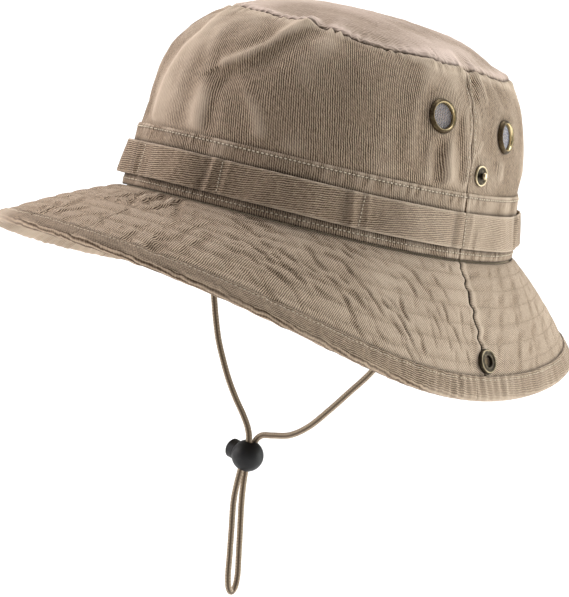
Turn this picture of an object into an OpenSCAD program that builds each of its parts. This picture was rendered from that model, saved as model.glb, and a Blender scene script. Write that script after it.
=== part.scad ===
// Boonie hat: a soft cotton hat with a domed crown, a stitched brim whose sides snap up,
// mesh vents, foliage loops and a chin cord with a sprung cord lock.
// The origin is the centre of the head opening, in the plane of the crown's foot.
// +Z is up the crown, the front of the hat faces -Y, and the wearer's left side is +X.

/* [Crown] */
// Half the width of the crown's foot, side to side
crown_half_w = 84.9; // [78:0.1:92]
// Half the length of the crown's foot, front to back
crown_half_l = 102.3; // [94:0.1:112]
// Height of the crown's top above its foot
crown_h = 99.6; // [85:0.1:110]
// Share of its width that the crown loses from foot to top
crown_taper = 0.10; // [0.04:0.01:0.16]
// Squareness of the crown's shoulder
shoulder_power = 6.4; // [4:0.1:9]
// How far the foot dips at the sides
side_dip = 5; // [0:0.5:8]
// Mean height of the seam round the tip
tip_seam_z = 84.5; // [80:0.5:88]
// Rise and fall of the tip seam about its mean height
tip_seam_tilt = 5; // [0:0.5:6]
// Thickness of one layer of twill
cloth_t = 0.9; // [0.6:0.1:1.2]

/* [Brim] */
// Width of the brim along the cloth, at the front and sides
brim_w = 63.5; // [55:0.5:75]
// Width of the brim at the middle of the back
brim_back_w = 53; // [48:0.5:75]
// Droop of the brim at the front, in degrees below level
droop_front = 22; // [15:1:35]
// Droop of the brim at the back
droop_back = 45; // [35:1:52]
// Droop of the brim at its two sides, on average
droop_side = 52; // [44:1:56]
// Droop of the brim at its four corners, on average
droop_corner = 40; // [34:0.5:42]
// How much more the left side droops than the average, and the right side less
droop_lean = 15; // [0:0.5:17]
// How much more the left corners droop than the average, and the right corners less
droop_corner_lean = 6; // [0:0.5:8]
// How much more the back corners droop than the average, and the front corners less
droop_back_lean = 6; // [0:0.5:7]
// How much more the right back and left front corners droop than the average
droop_twist = 2; // [0:0.5:5]
// How much the droop steepens towards the edge
brim_curl = 0.3; // [0:0.05:0.35]
// Width of the binding on the brim's edge
binding_w = 9; // [6:0.5:12]

/* [Band and loops] */
// Height of the hat band
band_h = 30; // [24:0.5:34]
// Height of the ribbon's lower edge above the foot
ribbon_z = 6; // [4:0.5:9]
// Height of the foliage loop ribbon
ribbon_h = 15.5; // [12:0.5:20]
// Number of foliage loops round the hat
loop_count = 10; // [6:2:14]
// How far a loop bows out between its stitches
loop_bow = 2.0; // [0.5:0.1:2.5]
// Height of the sweatband inside
sweatband_h = 32; // [25:1:36]

/* [Vents and snaps] */
// Outer diameter of a vent eyelet
vent_od = 16; // [14:0.5:18]
// Diameter of the mesh that shows in a vent
vent_mesh_d = 11.5; // [10:0.5:12.5]
// Distance of the front vent in front of the side seam
vent_front_y = 20.5; // [18:0.5:28]
// Height of the front vent
vent_front_z = 58.5; // [54:0.5:64]
// Distance of the back vent behind the side seam
vent_back_y = 29; // [24:0.5:34]
// Height of the back vent
vent_back_z = 54; // [54:0.5:60]
// Distance of the snaps behind the side seam
snap_y = 9; // [0:0.5:12]
// Height of the snap stud
stud_z = 35; // [34:0.5:40]
// Distance of the snap socket from the crown, along the brim
socket_along = 49; // [46:0.5:49]

/* [Chin cord] */
// Diameter of the cord
cord_d = 3; // [2.4:0.1:3.2]
// Diameter of the cord lock's ball
lock_d = 15.4; // [14:0.1:18]
// Travel of the cord lock's button
button_travel = 2.5; // [2:0.5:2.5]

/* [Hidden] */

khaki = [0.62, 0.54, 0.42];
khaki_dark = [0.55, 0.48, 0.37];
khaki_light = [0.68, 0.60, 0.48];
brass = [0.47, 0.38, 0.22];
steel = [0.45, 0.44, 0.42];

LEFT = 1;
RIGHT = -1;
gap = 0.05;          // between layers that are sewn together
fold_gap = 0.6;      // between the fixed brim and a flap, each side of the fold
vent_bore_r = vent_mesh_d / 2 + 0.6;
post_r = 1.6;        // radius of a snap's post
$fn = 48;

// ---- Crown surface: T is the angle round the oval, t the height from 0 to 1, off the depth inside.

function dip(T) = -side_dip * pow(cos(T), 2);
function girth(t) = (1 - crown_taper * t) * sqrt(max(0, 1 - pow(t, shoulder_power)));
function crown_at(T, t, off) = [
    (crown_half_w - off) * girth(t) * cos(T),
    (crown_half_l - off) * girth(t) * sin(T),
    (crown_h - off) * t + dip(T) * (1 - t)
];
function seam_t(T) = (tip_seam_z - tip_seam_tilt * cos(T - 60)) / crown_h;
// Heights crowd together towards the shoulder, where the wall turns over
function wall_t(T, i, n) = seam_t(T) * (1 - pow(1 - i / n, 1.7));

// ---- Brim surface: d runs from 0 at the crown to 1 at the edge.

lobe = (droop_front - droop_back) / 2;
droop_mean = (droop_side + (droop_front + droop_back) / 2) / 4 + droop_corner / 2;
droop_two = (droop_side - (droop_front + droop_back) / 2) / 2;
droop_four = (droop_side + (droop_front + droop_back) / 2) / 4 - droop_corner / 2;
back_lean = droop_back_lean / sqrt(2);
lean_one = (droop_lean + sqrt(2) * droop_corner_lean) / 2;
lean_three = (droop_lean - sqrt(2) * droop_corner_lean) / 2;
function droop(T) = droop_mean + droop_two * cos(2 * T) + droop_four * cos(4 * T)
    - lobe * (0.5 * sin(T) - 0.5 * sin(3 * T)) + lean_one * cos(T) + lean_three * cos(3 * T)
    + back_lean * (sin(T) + sin(3 * T)) - droop_twist * sin(2 * T);
function width(T) = brim_w - (brim_w - brim_back_w) * pow(max(0, sin(T)), 2);
function run(T) = width(T) * cos(droop(T));
function fall(T) = width(T) * sin(droop(T));
function out_len(T) = norm([cos(T) / crown_half_w, sin(T) / crown_half_l]);
function out_x(T) = cos(T) / crown_half_w / out_len(T);
function out_y(T) = sin(T) / crown_half_l / out_len(T);
function sag(d) = (1 - brim_curl) * d + brim_curl * d * d;
function slope_at(T, d) = atan(fall(T) * (1 - brim_curl + 2 * brim_curl * d) / run(T));
// Point on the brim at height up above its middle surface
function brim_at(T, d, up) = [
    (crown_half_w + gap) * cos(T) + run(T) * d * out_x(T),
    (crown_half_l + gap) * sin(T) + run(T) * d * out_y(T),
    dip(T) - fall(T) * sag(d) + up / cos(slope_at(T, d))
];

// ---- Snaps and the fold of each flap, worked out in the plane across the hat.

// Share of the crown's height at which the side of the wall has a given z
function wall_share(z) = (z + side_dip) / (crown_h + side_dip);
// Angle round the foot at which a point of the wall has a given y
function wall_T(y, t) = asin(y / (crown_half_l * girth(t)));
stud_T = wall_T(snap_y, wall_share(stud_z));
function wall_tilt(z) = let (t = wall_share(z))
    atan((girth(t) - girth(t + 0.01)) / 0.01 * crown_half_w / (crown_h + side_dip));
stud_tilt = wall_tilt(stud_z);
stud_base = crown_at(stud_T, wall_share(stud_z), -gap);
snap_stand = 2.3;    // height of a socket's face above the cloth
stud_stand = 2.7;    // and of the stud's ball
socket_d = socket_along / brim_w;
// Angle round the foot, on each side, at which the socket's point of the brim has y = snap_y
function side_T(side, T) = side == LEFT ? T : 180 - T;
function socket_T(side) = let (reach = run(side_T(side, 4)) * socket_d * 0.8)
    side_T(side, asin(snap_y / (crown_half_l + reach)));
function socket_base(side) = brim_at(socket_T(side), socket_d, 0);
function socket_tilt(side) = 90 - slope_at(socket_T(side), socket_d);
function fold_angle(side) = 180 + stud_tilt - socket_tilt(side);
function dir(a) = [cos(a), sin(a)];
stud_face = [stud_base[0], stud_base[2]] + stud_stand * dir(stud_tilt);
function socket_face(side) = let (b = socket_base(side))
    [abs(b[0]), b[2]] + (cloth_t + gap + snap_stand) * dir(socket_tilt(side));
// The fold line is the centre of the turn that brings the socket's face to the stud's
function fold(side) = let (a = socket_face(side), b = stud_face, c = b - a)
    (a + b) / 2 + [-c[1], c[0]] / 2 / tan(fold_angle(side) / 2);
function fold_x(side) = fold(side)[0];

// Share of the brim's width at which it crosses the plane of the fold
function fold_d(T, x) = (x - (crown_half_w + gap) * abs(cos(T))) / max(0.001, run(T) * abs(out_x(T)));
// Angle at which the line at share d of the width crosses that plane, found by halving, at the back
// of each side (end = 1) or at its front (end = -1), because the droop differs
function cross_at(side, end, d, x, lo = 10, hi = 85, n = 24) =
    let (mid = (lo + hi) / 2)
    n == 0 ? side_T(side, end * mid)
    : fold_d(side_T(side, end * mid), x) < d ? cross_at(side, end, d, x, mid, hi, n - 1)
    : cross_at(side, end, d, x, lo, mid, n - 1);

// ---- Closed shells from two grids of points.

function flat(g) = [for (row = g) for (p = row) p];
function quad(a, b, c, d) = [[a, b, c], [a, c, d]];
function join(lists) = [for (l = lists) for (x = l) x];
// top and under are grids of m rows by n points; looking down on top, rows run away and points run left
module shell(top, under) {
    m = len(top);
    n = len(top[0]);
    s = m * n;
    faces = join([
        for (i = [0 : m - 2]) for (j = [0 : n - 2])
            quad(i * n + j, (i + 1) * n + j, (i + 1) * n + j + 1, i * n + j + 1),
        for (i = [0 : m - 2]) for (j = [0 : n - 2])
            quad(s + i * n + j, s + i * n + j + 1, s + (i + 1) * n + j + 1, s + (i + 1) * n + j),
        for (j = [0 : n - 2]) quad(j, j + 1, s + j + 1, s + j),
        for (j = [0 : n - 2])
            quad((m - 1) * n + j + 1, (m - 1) * n + j, s + (m - 1) * n + j, s + (m - 1) * n + j + 1),
        for (i = [0 : m - 2]) quad((i + 1) * n, i * n, s + i * n, s + (i + 1) * n),
        for (i = [0 : m - 2])
            quad(i * n + n - 1, (i + 1) * n + n - 1, s + (i + 1) * n + n - 1, s + i * n + n - 1)
    ]);
    polyhedron(points = concat(flat(top), flat(under)), faces = faces, convexity = 8);
}

// A punched hole for something of radius r, through any ply
module hole(r) {
    cylinder(h = 20, r = r + 2 * gap, center = true);
}

// ---- Crown

FRONT = 180;         // the front half runs from T = 180 to 360
BACK = 0;            // the back half runs from T = 0 to 180
seam_gap = 0.02;     // half the gap at a side seam, in degrees
half_steps = 30;
function half_T(start, j, n) = start + seam_gap + (180 - 2 * seam_gap) * j / n;

// A curved wall: heights from t0 to t1 as shares of crown_h, between two depths
module wall(start, rows, steps, t0, t1, out, in) {
    function grid(off) = [for (i = [0 : rows]) [for (j = [0 : steps])
        crown_at(half_T(start, j, steps), t0 + (t1 - t0) * i / rows, off)]];
    shell(grid(in), grid(out));
}

module crown_panel(start) {
    rows = 7;
    function grid(off) = [for (i = [0 : rows]) [for (j = [0 : half_steps])
        let (T = half_T(start, j, half_steps)) crown_at(T, wall_t(T, i, rows), off)]];
    difference() {
        shell(grid(cloth_t), grid(0));
        for (side = [LEFT, RIGHT]) {
            on_vent(side, start == FRONT ? -1 : 1) hole(vent_bore_r);
            if (start == BACK) on_stud(side) hole(post_r);
        }
    }
}

module crown_front_panel() { color(khaki) crown_panel(FRONT); }

module crown_back_panel() { color(khaki) crown_panel(BACK); }

module crown_tip() {
    rows = 4;
    steps = 40;
    tip_gap = 0.0006;
    // Rows crowd towards the seam by even steps of the shoulder's own angle
    function rise(T, i) = let (a = asin(pow(seam_t(T) + tip_gap, shoulder_power / 2)))
        pow(sin(a + (90 - a) * i / rows), 2 / shoulder_power);
    function hoop(i, off) = [for (j = [0 : steps - 1])
        let (T = 360 * j / steps) crown_at(T, rise(T, i), off)];
    pts = concat(
        join([for (i = [0 : rows - 1]) hoop(i, 0)]), [[0, 0, crown_h]],
        join([for (i = [0 : rows - 1]) hoop(i, cloth_t)]), [[0, 0, crown_h - cloth_t]]
    );
    s = rows * steps + 1;
    // Index of point j of hoop i, and the last hoop's
    function at(i, j) = i * steps + j % steps;
    last = rows - 1;
    faces = join([
        for (i = [0 : rows - 2]) for (j = [0 : steps - 1])
            quad(at(i, j), at(i + 1, j), at(i + 1, j + 1), at(i, j + 1)),
        for (j = [0 : steps - 1]) [[at(last, j), s - 1, at(last, j + 1)]],
        for (i = [0 : rows - 2]) for (j = [0 : steps - 1])
            quad(s + at(i, j), s + at(i, j + 1), s + at(i + 1, j + 1), s + at(i + 1, j)),
        for (j = [0 : steps - 1]) [[s + at(last, j), s + at(last, j + 1), 2 * s - 1]],
        for (j = [0 : steps - 1]) quad(at(0, j), at(0, j + 1), s + at(0, j + 1), s + at(0, j))
    ]);
    color(khaki) polyhedron(points = pts, faces = faces, convexity = 6);
}

// ---- Hat band, foliage loops and sweatband

foot_t = 0.018;      // the band starts just above the brim
module hat_band(start) {
    color(khaki) wall(start, 3, half_steps, foot_t, band_h / crown_h, -gap - 0.7, -gap);
}

module hat_band_front() { hat_band(FRONT); }

module hat_band_back() { hat_band(BACK); }

// The ribbon bows out between its stitches, as an open loop that twigs are pushed through
ribbon_in = 0.7 + 2 * gap;
loops_each_half = loop_count / 2;
function bow(j, per) = loop_bow * pow(sin(180 * (j % per) / per), 2);
module loop_ribbon(start) {
    per = 6;
    steps = loops_each_half * per;
    t0 = ribbon_z / crown_h;
    t1 = (ribbon_z + ribbon_h) / crown_h;
    function grid(off) = [for (i = [0 : 1]) [for (j = [0 : steps])
        crown_at(half_T(start, j, steps), t0 + (t1 - t0) * i, off - bow(j, per))]];
    color(khaki_light) shell(grid(-ribbon_in), grid(-ribbon_in - 0.7));
}

module loop_ribbon_front() { loop_ribbon(FRONT); }

module loop_ribbon_back() { loop_ribbon(BACK); }

module sweatband(start) {
    color(khaki_dark) wall(start, 2, half_steps, 0, sweatband_h / crown_h, cloth_t + 0.8, cloth_t + 1.6);
}

module sweatband_front() { sweatband(FRONT); }

module sweatband_back() { sweatband(BACK); }

// ---- Brim: a fixed front and back, and a flap on each side outside the fold

edge_d = 1 - 1.6 / brim_w;        // where the plies end inside the binding
row_share = [0, 0.3, 0.6, 0.88, 1];
plate_rows = len(row_share) - 1;
arc_steps = 24;                   // steps between the two corners of a brim half
side_steps = 8;                   // steps from a side seam to a corner
function lerp(a, b, f) = a + (b - a) * f;
// Angles of one brim half: side, corner, corner, side
function half_angles(start) =
    let (
        first = start == BACK ? LEFT : RIGHT,
        end = start == BACK ? 1 : -1,
        a = start + seam_gap,
        b = corner(first, end) + (corner(first, end) < 0 ? 360 : 0),
        c = corner(-first, end) + (corner(-first, end) < 0 ? 360 : 0),
        e = start + 180 - seam_gap
    )
    concat(
        [for (j = [0 : side_steps - 1]) lerp(a, b, j / side_steps)],
        [for (j = [0 : arc_steps - 1]) lerp(b, c, j / arc_steps)],
        [for (j = [0 : side_steps]) lerp(c, e, j / side_steps)]
    );
function corner(side, end) = cross_at(side, end, edge_d, fold_x(side) - fold_gap);
function side_of(T) = cos(T) >= 0 ? LEFT : RIGHT;
function inner_limit(T) = min(edge_d, fold_d(T, fold_x(side_of(T)) - fold_gap));

// One ply of a fixed brim half, between two heights above the brim's middle surface
module brim_ply(start, low, high) {
    angles = half_angles(start);
    function grid(up) = [for (i = [0 : plate_rows]) [for (T = angles)
        brim_at(T, inner_limit(T) * row_share[i], up)]];
    shell(grid(high), grid(low));
}

module brim_top_front() { color(khaki) brim_ply(FRONT, gap, gap + cloth_t); }

module brim_top_back() { color(khaki) brim_ply(BACK, gap, gap + cloth_t); }

module brim_under_front() { color(khaki_light) brim_ply(FRONT, -gap - cloth_t, -gap); }

module brim_under_back() { color(khaki_light) brim_ply(BACK, -gap - cloth_t, -gap); }

// One ply of a flap, with a hole for the snap socket's post
flap_steps = 18;
function flap_T(side, j, d, x) =
    let (a = cross_at(side, -1, d, x), b = cross_at(side, 1, d, x))
    side == LEFT ? lerp(a, b, j / flap_steps) : lerp(a < 0 ? a + 360 : a, b, j / flap_steps);
module flap_ply(side, low, high) {
    x = fold_x(side) + fold_gap;
    tip = 0.992;     // the flap's corners are cut a little short of a point
    function T_of(j) = flap_T(side, j, edge_d * tip, x);
    function grid(up) = [for (i = [0 : plate_rows]) [for (j = [0 : flap_steps])
        let (T = T_of(j)) brim_at(T, lerp(fold_d(T, x), edge_d, row_share[i]), up)]];
    difference() {
        if (side == LEFT) shell(grid(high), grid(low));
        else shell(grid(low), grid(high));
        on_socket(side) hole(post_r);
    }
}

module flap_top_left() { color(khaki) flap_ply(LEFT, gap, gap + cloth_t); }

module flap_top_right() { color(khaki) flap_ply(RIGHT, gap, gap + cloth_t); }

module flap_under_left() { color(khaki_light) flap_ply(LEFT, -gap - cloth_t, -gap); }

module flap_under_right() { color(khaki_light) flap_ply(RIGHT, -gap - cloth_t, -gap); }

// ---- Binding: a strip folded round the edge, as a U of [share of the width, height] points

bind_t = 0.7;
bind_in = gap + cloth_t + 0.45;   // the room inside leaves the plies free of the strip
bind_end = 1 - 1.0 / brim_w;      // bottom of the fold, inside
u_section = [
    [1 - binding_w / brim_w, bind_in], [1 - binding_w / brim_w, bind_in + bind_t],
    [1, bind_in + bind_t - 0.3], [1 + 0.4 / brim_w, 0], [1, 0.3 - bind_in - bind_t],
    [1 - binding_w / brim_w, -bind_in - bind_t], [1 - binding_w / brim_w, -bind_in],
    [bind_end, -bind_in], [bind_end, bind_in]
];
// Share of the width for a point of the section. Heights are measured straight up, so the strip's
// inner edges are moved along the slope to keep its width the same above and below.
function bind_share(T, p) = p[0] + (p[0] < edge_d ? p[1] * tan(slope_at(T, p[0])) / width(T) : 0);
module binding(start_T, end_T, steps) {
    n = len(u_section);
    pts = [for (j = [0 : steps]) for (k = [0 : n - 1])
        let (T = lerp(start_T[k], end_T[k], j / steps), p = u_section[k]) brim_at(T, bind_share(T, p), p[1])];
    cap = [[0, 1, 8], [1, 2, 8], [2, 3, 8], [3, 7, 8], [3, 4, 7], [4, 5, 7], [5, 6, 7]];
    faces = concat(
        [for (f = cap) [f[2], f[1], f[0]]],
        [for (f = cap) [for (v = f) steps * n + v]],
        join([for (j = [0 : steps - 1]) for (k = [0 : n - 1])
            let (a = j * n + k, b = j * n + (k + 1) % n) quad(a, b, b + n, a + n)])
    );
    polyhedron(points = pts, faces = faces, convexity = 6);
}
near_corner = 50;    // angle from the side seam, close to where the fold meets the edge
function section_T(side, end, x) = [for (p = u_section)
    cross_at(side, end, min(bind_share(side_T(side, end * near_corner), p), 1), x)];
function wrapped(list, turn) = [for (a = list) a + turn];

module brim_binding_front() {
    a = section_T(RIGHT, -1, fold_x(RIGHT) - fold_gap);
    b = section_T(LEFT, -1, fold_x(LEFT) - fold_gap);
    color(khaki) binding(a, wrapped(b, 360), arc_steps);
}

module brim_binding_back() {
    a = section_T(LEFT, 1, fold_x(LEFT) - fold_gap);
    b = section_T(RIGHT, 1, fold_x(RIGHT) - fold_gap);
    color(khaki) binding(a, b, arc_steps);
}

module flap_binding_left() {
    a = section_T(LEFT, -1, fold_x(LEFT) + fold_gap);
    b = section_T(LEFT, 1, fold_x(LEFT) + fold_gap);
    color(khaki) binding(a, b, flap_steps);
}

module flap_binding_right() {
    a = section_T(RIGHT, 1, fold_x(RIGHT) + fold_gap);
    b = section_T(RIGHT, -1, fold_x(RIGHT) + fold_gap);
    color(khaki) binding(a, b, flap_steps);
}

// ---- Vents: a brass eyelet through the wall, a mesh disc in it and a washer behind

// Puts a child on the wall's outer face with +Z pointing out of it
module on_wall(side, y, z) {
    t = wall_share(z);
    T = wall_T(y, t);
    p = crown_at(T, t, 0);
    turn = atan2(out_y(T), out_x(T));
    mirror([side == LEFT ? 0 : 1, 0, 0])
        translate(p) rotate([0, 0, turn]) rotate([0, 90 - wall_tilt(z), 0]) children();
}

module on_vent(side, end) {
    on_wall(side, end < 0 ? -vent_front_y : vent_back_y, end < 0 ? vent_front_z : vent_back_z) children();
}

module ring(r_in, r_out, z0, z1) {
    rotate_extrude() translate([r_in, z0]) square([r_out - r_in, z1 - z0]);
}

// A rolled flange with a rounded crown, and a barrel that reaches through the cloth
module vent_eyelet(side, end) {
    flange_h = 1.5;
    barrel = 3.0;
    color(brass) on_vent(side, end) rotate_extrude() polygon([
        [vent_mesh_d / 2, -barrel], [vent_mesh_d / 2, flange_h * 0.6],
        [vent_mesh_d / 2 + 0.7, flange_h], [vent_od / 2 - 0.7, flange_h * 0.85],
        [vent_od / 2, 0.35], [vent_od / 2, 0.12], [vent_bore_r, 0.12], [vent_bore_r, -barrel]
    ]);
}

module vent_mesh(side, end) {
    color(steel) on_vent(side, end) translate([0, 0, -0.4]) cylinder(h = 0.5, r = vent_mesh_d / 2 - gap);
}

module vent_washer(side, end) {
    color(brass) on_vent(side, end) ring(vent_bore_r + gap, vent_od / 2 - 0.5, -2.6, -2.0);
}

// ---- Snaps

module on_stud(side) { on_wall(side, snap_y, stud_z) children(); }

// Puts a child on the brim's middle surface at the socket, with +Z pointing up out of it
module on_socket(side) {
    T = socket_T(side);
    p = brim_at(T, socket_d, 0);
    tilt = slope_at(T, socket_d);
    translate([p[0], p[1], p[2]]) rotate([0, side * tilt, 0]) children();
}

// The stud's dished ring and its ball, which the socket grips
module snap_stud(side) {
    color(brass) on_stud(side) translate([0, 0, 0.35]) rotate_extrude() polygon([
        [0, 0], [4.6, 0], [4.8, 0.5], [4.4, 1.3], [3.7, 1.2], [2.6, 0.6],
        [1.5, 0.6], [1.3, 1.9], [1.7, 2.5], [1.6, 3.0], [1.0, 3.3], [0, 3.3]
    ]);
}

// The rivet that holds the stud, with its flat head inside the crown
module snap_post(side) {
    color(steel) on_stud(side) {
        translate([0, 0, -2.4]) cylinder(h = 2.75, r = post_r - gap);
        translate([0, 0, -3.1]) cylinder(h = 0.7, r = 4.4);
    }
}

seat = cloth_t + gap + 0.6;       // from the brim's middle surface to a snap's flat seat
seat_rise = 0.7;                  // how much its rim stands clear of the bent cloth
module snap_socket(side) {
    color(brass) on_socket(side) rotate_extrude() polygon([
        [2.9, seat + 0.3], [2.6, seat + 1.2], [2.9, seat + 1.9], [5.0, seat + 1.9],
        [5.7, seat + 1.2], [5.9, seat + seat_rise], [3.4, seat], [2.9, seat]
    ]);
}

// The rivet cap under the brim, with a post through both plies
module snap_cap(side) {
    cap_h = 1.2;
    color(brass) on_socket(side) {
        rotate_extrude() polygon([
            [0, -seat - cap_h], [4.4, -seat - cap_h], [4.9, -seat - seat_rise], [3.4, -seat], [0, -seat]
        ]);
        translate([0, 0, -seat]) cylinder(h = 2 * seat, r = post_r - gap);
    }
}

// ---- Chin cord and its lock

// The cord leaves the base seam at each side and hangs in a loop; the lock slides on both strands.
// One route, from the left end down to the lock, round the lower loop and up to the right end.
cord_points = [
    [81.6, 0, -5.2], [81, 0, -10], [75.5, 0, -24], [64, 0, -42], [49, 0, -63.5], [38.5, 0, -75.5],
    [28.5, 0, -86.5], [18.5, 0, -96.5], [8, 0.3, -103], [-3, 0.9, -105.7], [-10.4, 1.5, -107.4],
    [-14.2, 1.75, -111.8], [-15.2, 1.75, -119.5], [-16.2, 1.8, -127], [-16.2, 3.2, -140],
    [-14.4, 4.1, -154], [-12.4, 4.4, -166], [-10.8, 4.5, -175], [-9.6, 3.1, -181],
    [-8.8, 0, -183.4], [-8.4, -3.1, -181], [-8.9, -4.5, -175], [-10.4, -4.4, -166],
    [-12.6, -4.1, -154], [-15.6, -3.2, -140], [-16.4, -1.8, -127], [-15.2, -1.75, -119.5],
    [-14.7, -1.7, -111.6], [-17, -1.2, -106], [-22.5, 0, -100.5], [-29.5, 0, -93.5],
    [-36, 0, -86], [-42, 0, -77.5], [-47.5, 0, -68.5], [-52, 0, -58.5],
    [-57, 0, -46], [-65, 0, -31], [-75.5, 0, -17], [-81, 0, -10], [-81.6, 0, -5.2]
];
cord_sides = 8;
cord_sub = 2;        // rings for each stretch of the route
function catmull(a, b, c, d, f) = 0.5 * (2 * b + (c - a) * f
    + (2 * a - 5 * b + 4 * c - d) * f * f + (3 * b - a - 3 * c + d) * f * f * f);
function route(p) = let (n = len(p)) concat(
    [for (i = [0 : n - 2]) for (k = [0 : cord_sub - 1])
        catmull(p[max(0, i - 1)], p[i], p[i + 1], p[min(n - 1, i + 2)], k / cord_sub)],
    [p[n - 1]]
);
function unit(v) = v / norm(v);
// A frame is carried along the route so that the tube doesn't twist
function carry(u, t) = unit(u - (u * t) * t);
function frames(t, i, u) = i >= len(t) ? [] : let (v = carry(u, t[i])) concat([v], frames(t, i + 1, v));
module tube(path, r, sides) {
    n = len(path);
    t = [for (i = [0 : n - 1]) unit(path[min(n - 1, i + 1)] - path[max(0, i - 1)])];
    u = frames(t, 0, [0, 1, 0.01]);
    pts = [for (i = [0 : n - 1]) for (k = [0 : sides - 1])
        let (a = 360 * (k + 0.5) / sides) path[i] + r * (cos(a) * u[i] + sin(a) * cross(t[i], u[i]))];
    faces = concat(
        [[for (k = [0 : sides - 1]) k]],
        [[for (k = [sides - 1 : -1 : 0]) (n - 1) * sides + k]],
        [for (i = [0 : n - 2]) for (k = [0 : sides - 1])
            let (a = i * sides + k, b = i * sides + (k + 1) % sides)
            each [[a, a + sides, b + sides], [a, b + sides, b]]]
    );
    polyhedron(points = pts, faces = faces, convexity = 10);
}

module chin_cord() { color(khaki_light) tube(route(cord_points), cord_d / 2, cord_sides); }

lock_at = [-15.2, 0, -118.3];
lock_lean = 8;       // the button points to the hat's right and up by this much
slot_w = 7.2;        // the barrel's bore across both strands
slot_d = 4.6;        // and along the button's travel
// Turns a child so that +Z is the button's direction
module on_lock() { translate(lock_at) rotate([0, lock_lean - 90, 0]) children(); }

// A hole with round ends across both strands, stretched along the button's direction from low to high
module strand_hole(low, high, length) {
    half = (slot_w - slot_d) / 2;
    r = slot_d / 2;
    for (y = [-half, half]) for (z = [low + r, high - r])
        translate([0, y, z]) rotate([0, 90, 0]) cylinder(h = length, r = r, center = true);
    translate([-length / 2, -half, low]) cube([length, 2 * half, high - low]);
    if (high - low > slot_d)
        translate([-length / 2, -half - r, low + r]) cube([length, 2 * (half + r), high - low - 2 * r]);
}

// The well that the button slides in narrows to a seat for the spring
well_r = 4.9;
seat_r = 3.6;
well_floor = -6.2;
seat_top = -5.2;
well_step = -4.6;
module cord_lock_barrel() {
    color([0.08, 0.08, 0.09]) on_lock() difference() {
        sphere(r = lock_d / 2, $fn = 64);
        strand_hole(-slot_d / 2, slot_d / 2, 2 * lock_d);
        rotate_extrude() polygon([
            [0, well_floor], [seat_r, well_floor], [seat_r, seat_top], [well_r, well_step],
            [well_r, 2 * lock_d], [0, 2 * lock_d]
        ]);
    }
}

slide_fit = 0.2;     // round the button and the spring
button_r = well_r - slide_fit;
button_top = 11.2;   // how far the button's face is from the ball's centre
button_floor = -slot_d / 2 - 0.8;
nose_top = button_floor + 0.55;
shoulder_z = nose_top + 0.6;
module cord_lock_plunger() {
    color([0.10, 0.10, 0.11]) on_lock() difference() {
        rotate_extrude() polygon([
            [0, button_floor], [seat_r - slide_fit, button_floor], [seat_r - slide_fit, nose_top],
            [button_r, shoulder_z],
            [button_r, button_top - 0.8], [button_r - 0.8, button_top], [0, button_top]
        ]);
        strand_hole(-slot_d / 2, slot_d / 2 + button_travel, 2 * lock_d);
    }
}

spring_wire = 0.8;
module cord_lock_spring() {
    outer = seat_r - 2 * slide_fit;
    color(steel) on_lock() ring(outer - spring_wire, outer, well_floor + gap, button_floor - gap);
}

crown_tip();
crown_front_panel();
crown_back_panel();
hat_band_front();
hat_band_back();
loop_ribbon_front();
loop_ribbon_back();
sweatband_front();
sweatband_back();
brim_top_front();
brim_top_back();
brim_under_front();
brim_under_back();
brim_binding_front();
brim_binding_back();
flap_top_left();
flap_under_left();
flap_binding_left();
flap_top_right();
flap_under_right();
flap_binding_right();
vent_eyelet(LEFT, -1);  // vent_eyelet_left_front
vent_mesh(LEFT, -1);  // vent_mesh_left_front
vent_washer(LEFT, -1);  // vent_washer_left_front
vent_eyelet(LEFT, 1);  // vent_eyelet_left_back
vent_mesh(LEFT, 1);  // vent_mesh_left_back
vent_washer(LEFT, 1);  // vent_washer_left_back
vent_eyelet(RIGHT, -1);  // vent_eyelet_right_front
vent_mesh(RIGHT, -1);  // vent_mesh_right_front
vent_washer(RIGHT, -1);  // vent_washer_right_front
vent_eyelet(RIGHT, 1);  // vent_eyelet_right_back
vent_mesh(RIGHT, 1);  // vent_mesh_right_back
vent_washer(RIGHT, 1);  // vent_washer_right_back
snap_stud(LEFT);  // snap_stud_left
snap_post(LEFT);  // snap_post_left
snap_socket(LEFT);  // snap_socket_left
snap_cap(LEFT);  // snap_cap_left
snap_stud(RIGHT);  // snap_stud_right
snap_post(RIGHT);  // snap_post_right
snap_socket(RIGHT);  // snap_socket_right
snap_cap(RIGHT);  // snap_cap_right
chin_cord();
cord_lock_barrel();
cord_lock_plunger();
cord_lock_spring();
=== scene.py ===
"""Boonie hat in washed khaki twill: the looks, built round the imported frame.

The hat faces -Y, +X is the wearer's left, and T is the angle round the crown's oval in degrees,
from 0 at the left side seam through 90 at the back. Lengths are in metres.
"""

import math

import bpy
import numpy as np
from mathutils import Matrix, Vector


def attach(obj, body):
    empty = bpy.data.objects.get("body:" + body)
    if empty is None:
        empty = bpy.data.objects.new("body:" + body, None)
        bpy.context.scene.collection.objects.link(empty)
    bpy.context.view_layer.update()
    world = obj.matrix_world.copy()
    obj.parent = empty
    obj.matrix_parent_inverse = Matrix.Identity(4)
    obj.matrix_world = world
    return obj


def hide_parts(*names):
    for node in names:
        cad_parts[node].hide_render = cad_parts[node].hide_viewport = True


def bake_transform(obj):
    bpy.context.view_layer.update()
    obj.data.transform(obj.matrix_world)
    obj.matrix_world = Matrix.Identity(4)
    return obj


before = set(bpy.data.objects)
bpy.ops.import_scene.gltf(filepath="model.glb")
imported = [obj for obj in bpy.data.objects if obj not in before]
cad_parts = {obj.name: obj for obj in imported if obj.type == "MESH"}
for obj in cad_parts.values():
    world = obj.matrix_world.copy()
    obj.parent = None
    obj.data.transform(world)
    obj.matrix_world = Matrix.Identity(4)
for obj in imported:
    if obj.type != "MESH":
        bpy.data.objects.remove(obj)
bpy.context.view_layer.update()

MM = 0.001
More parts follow.
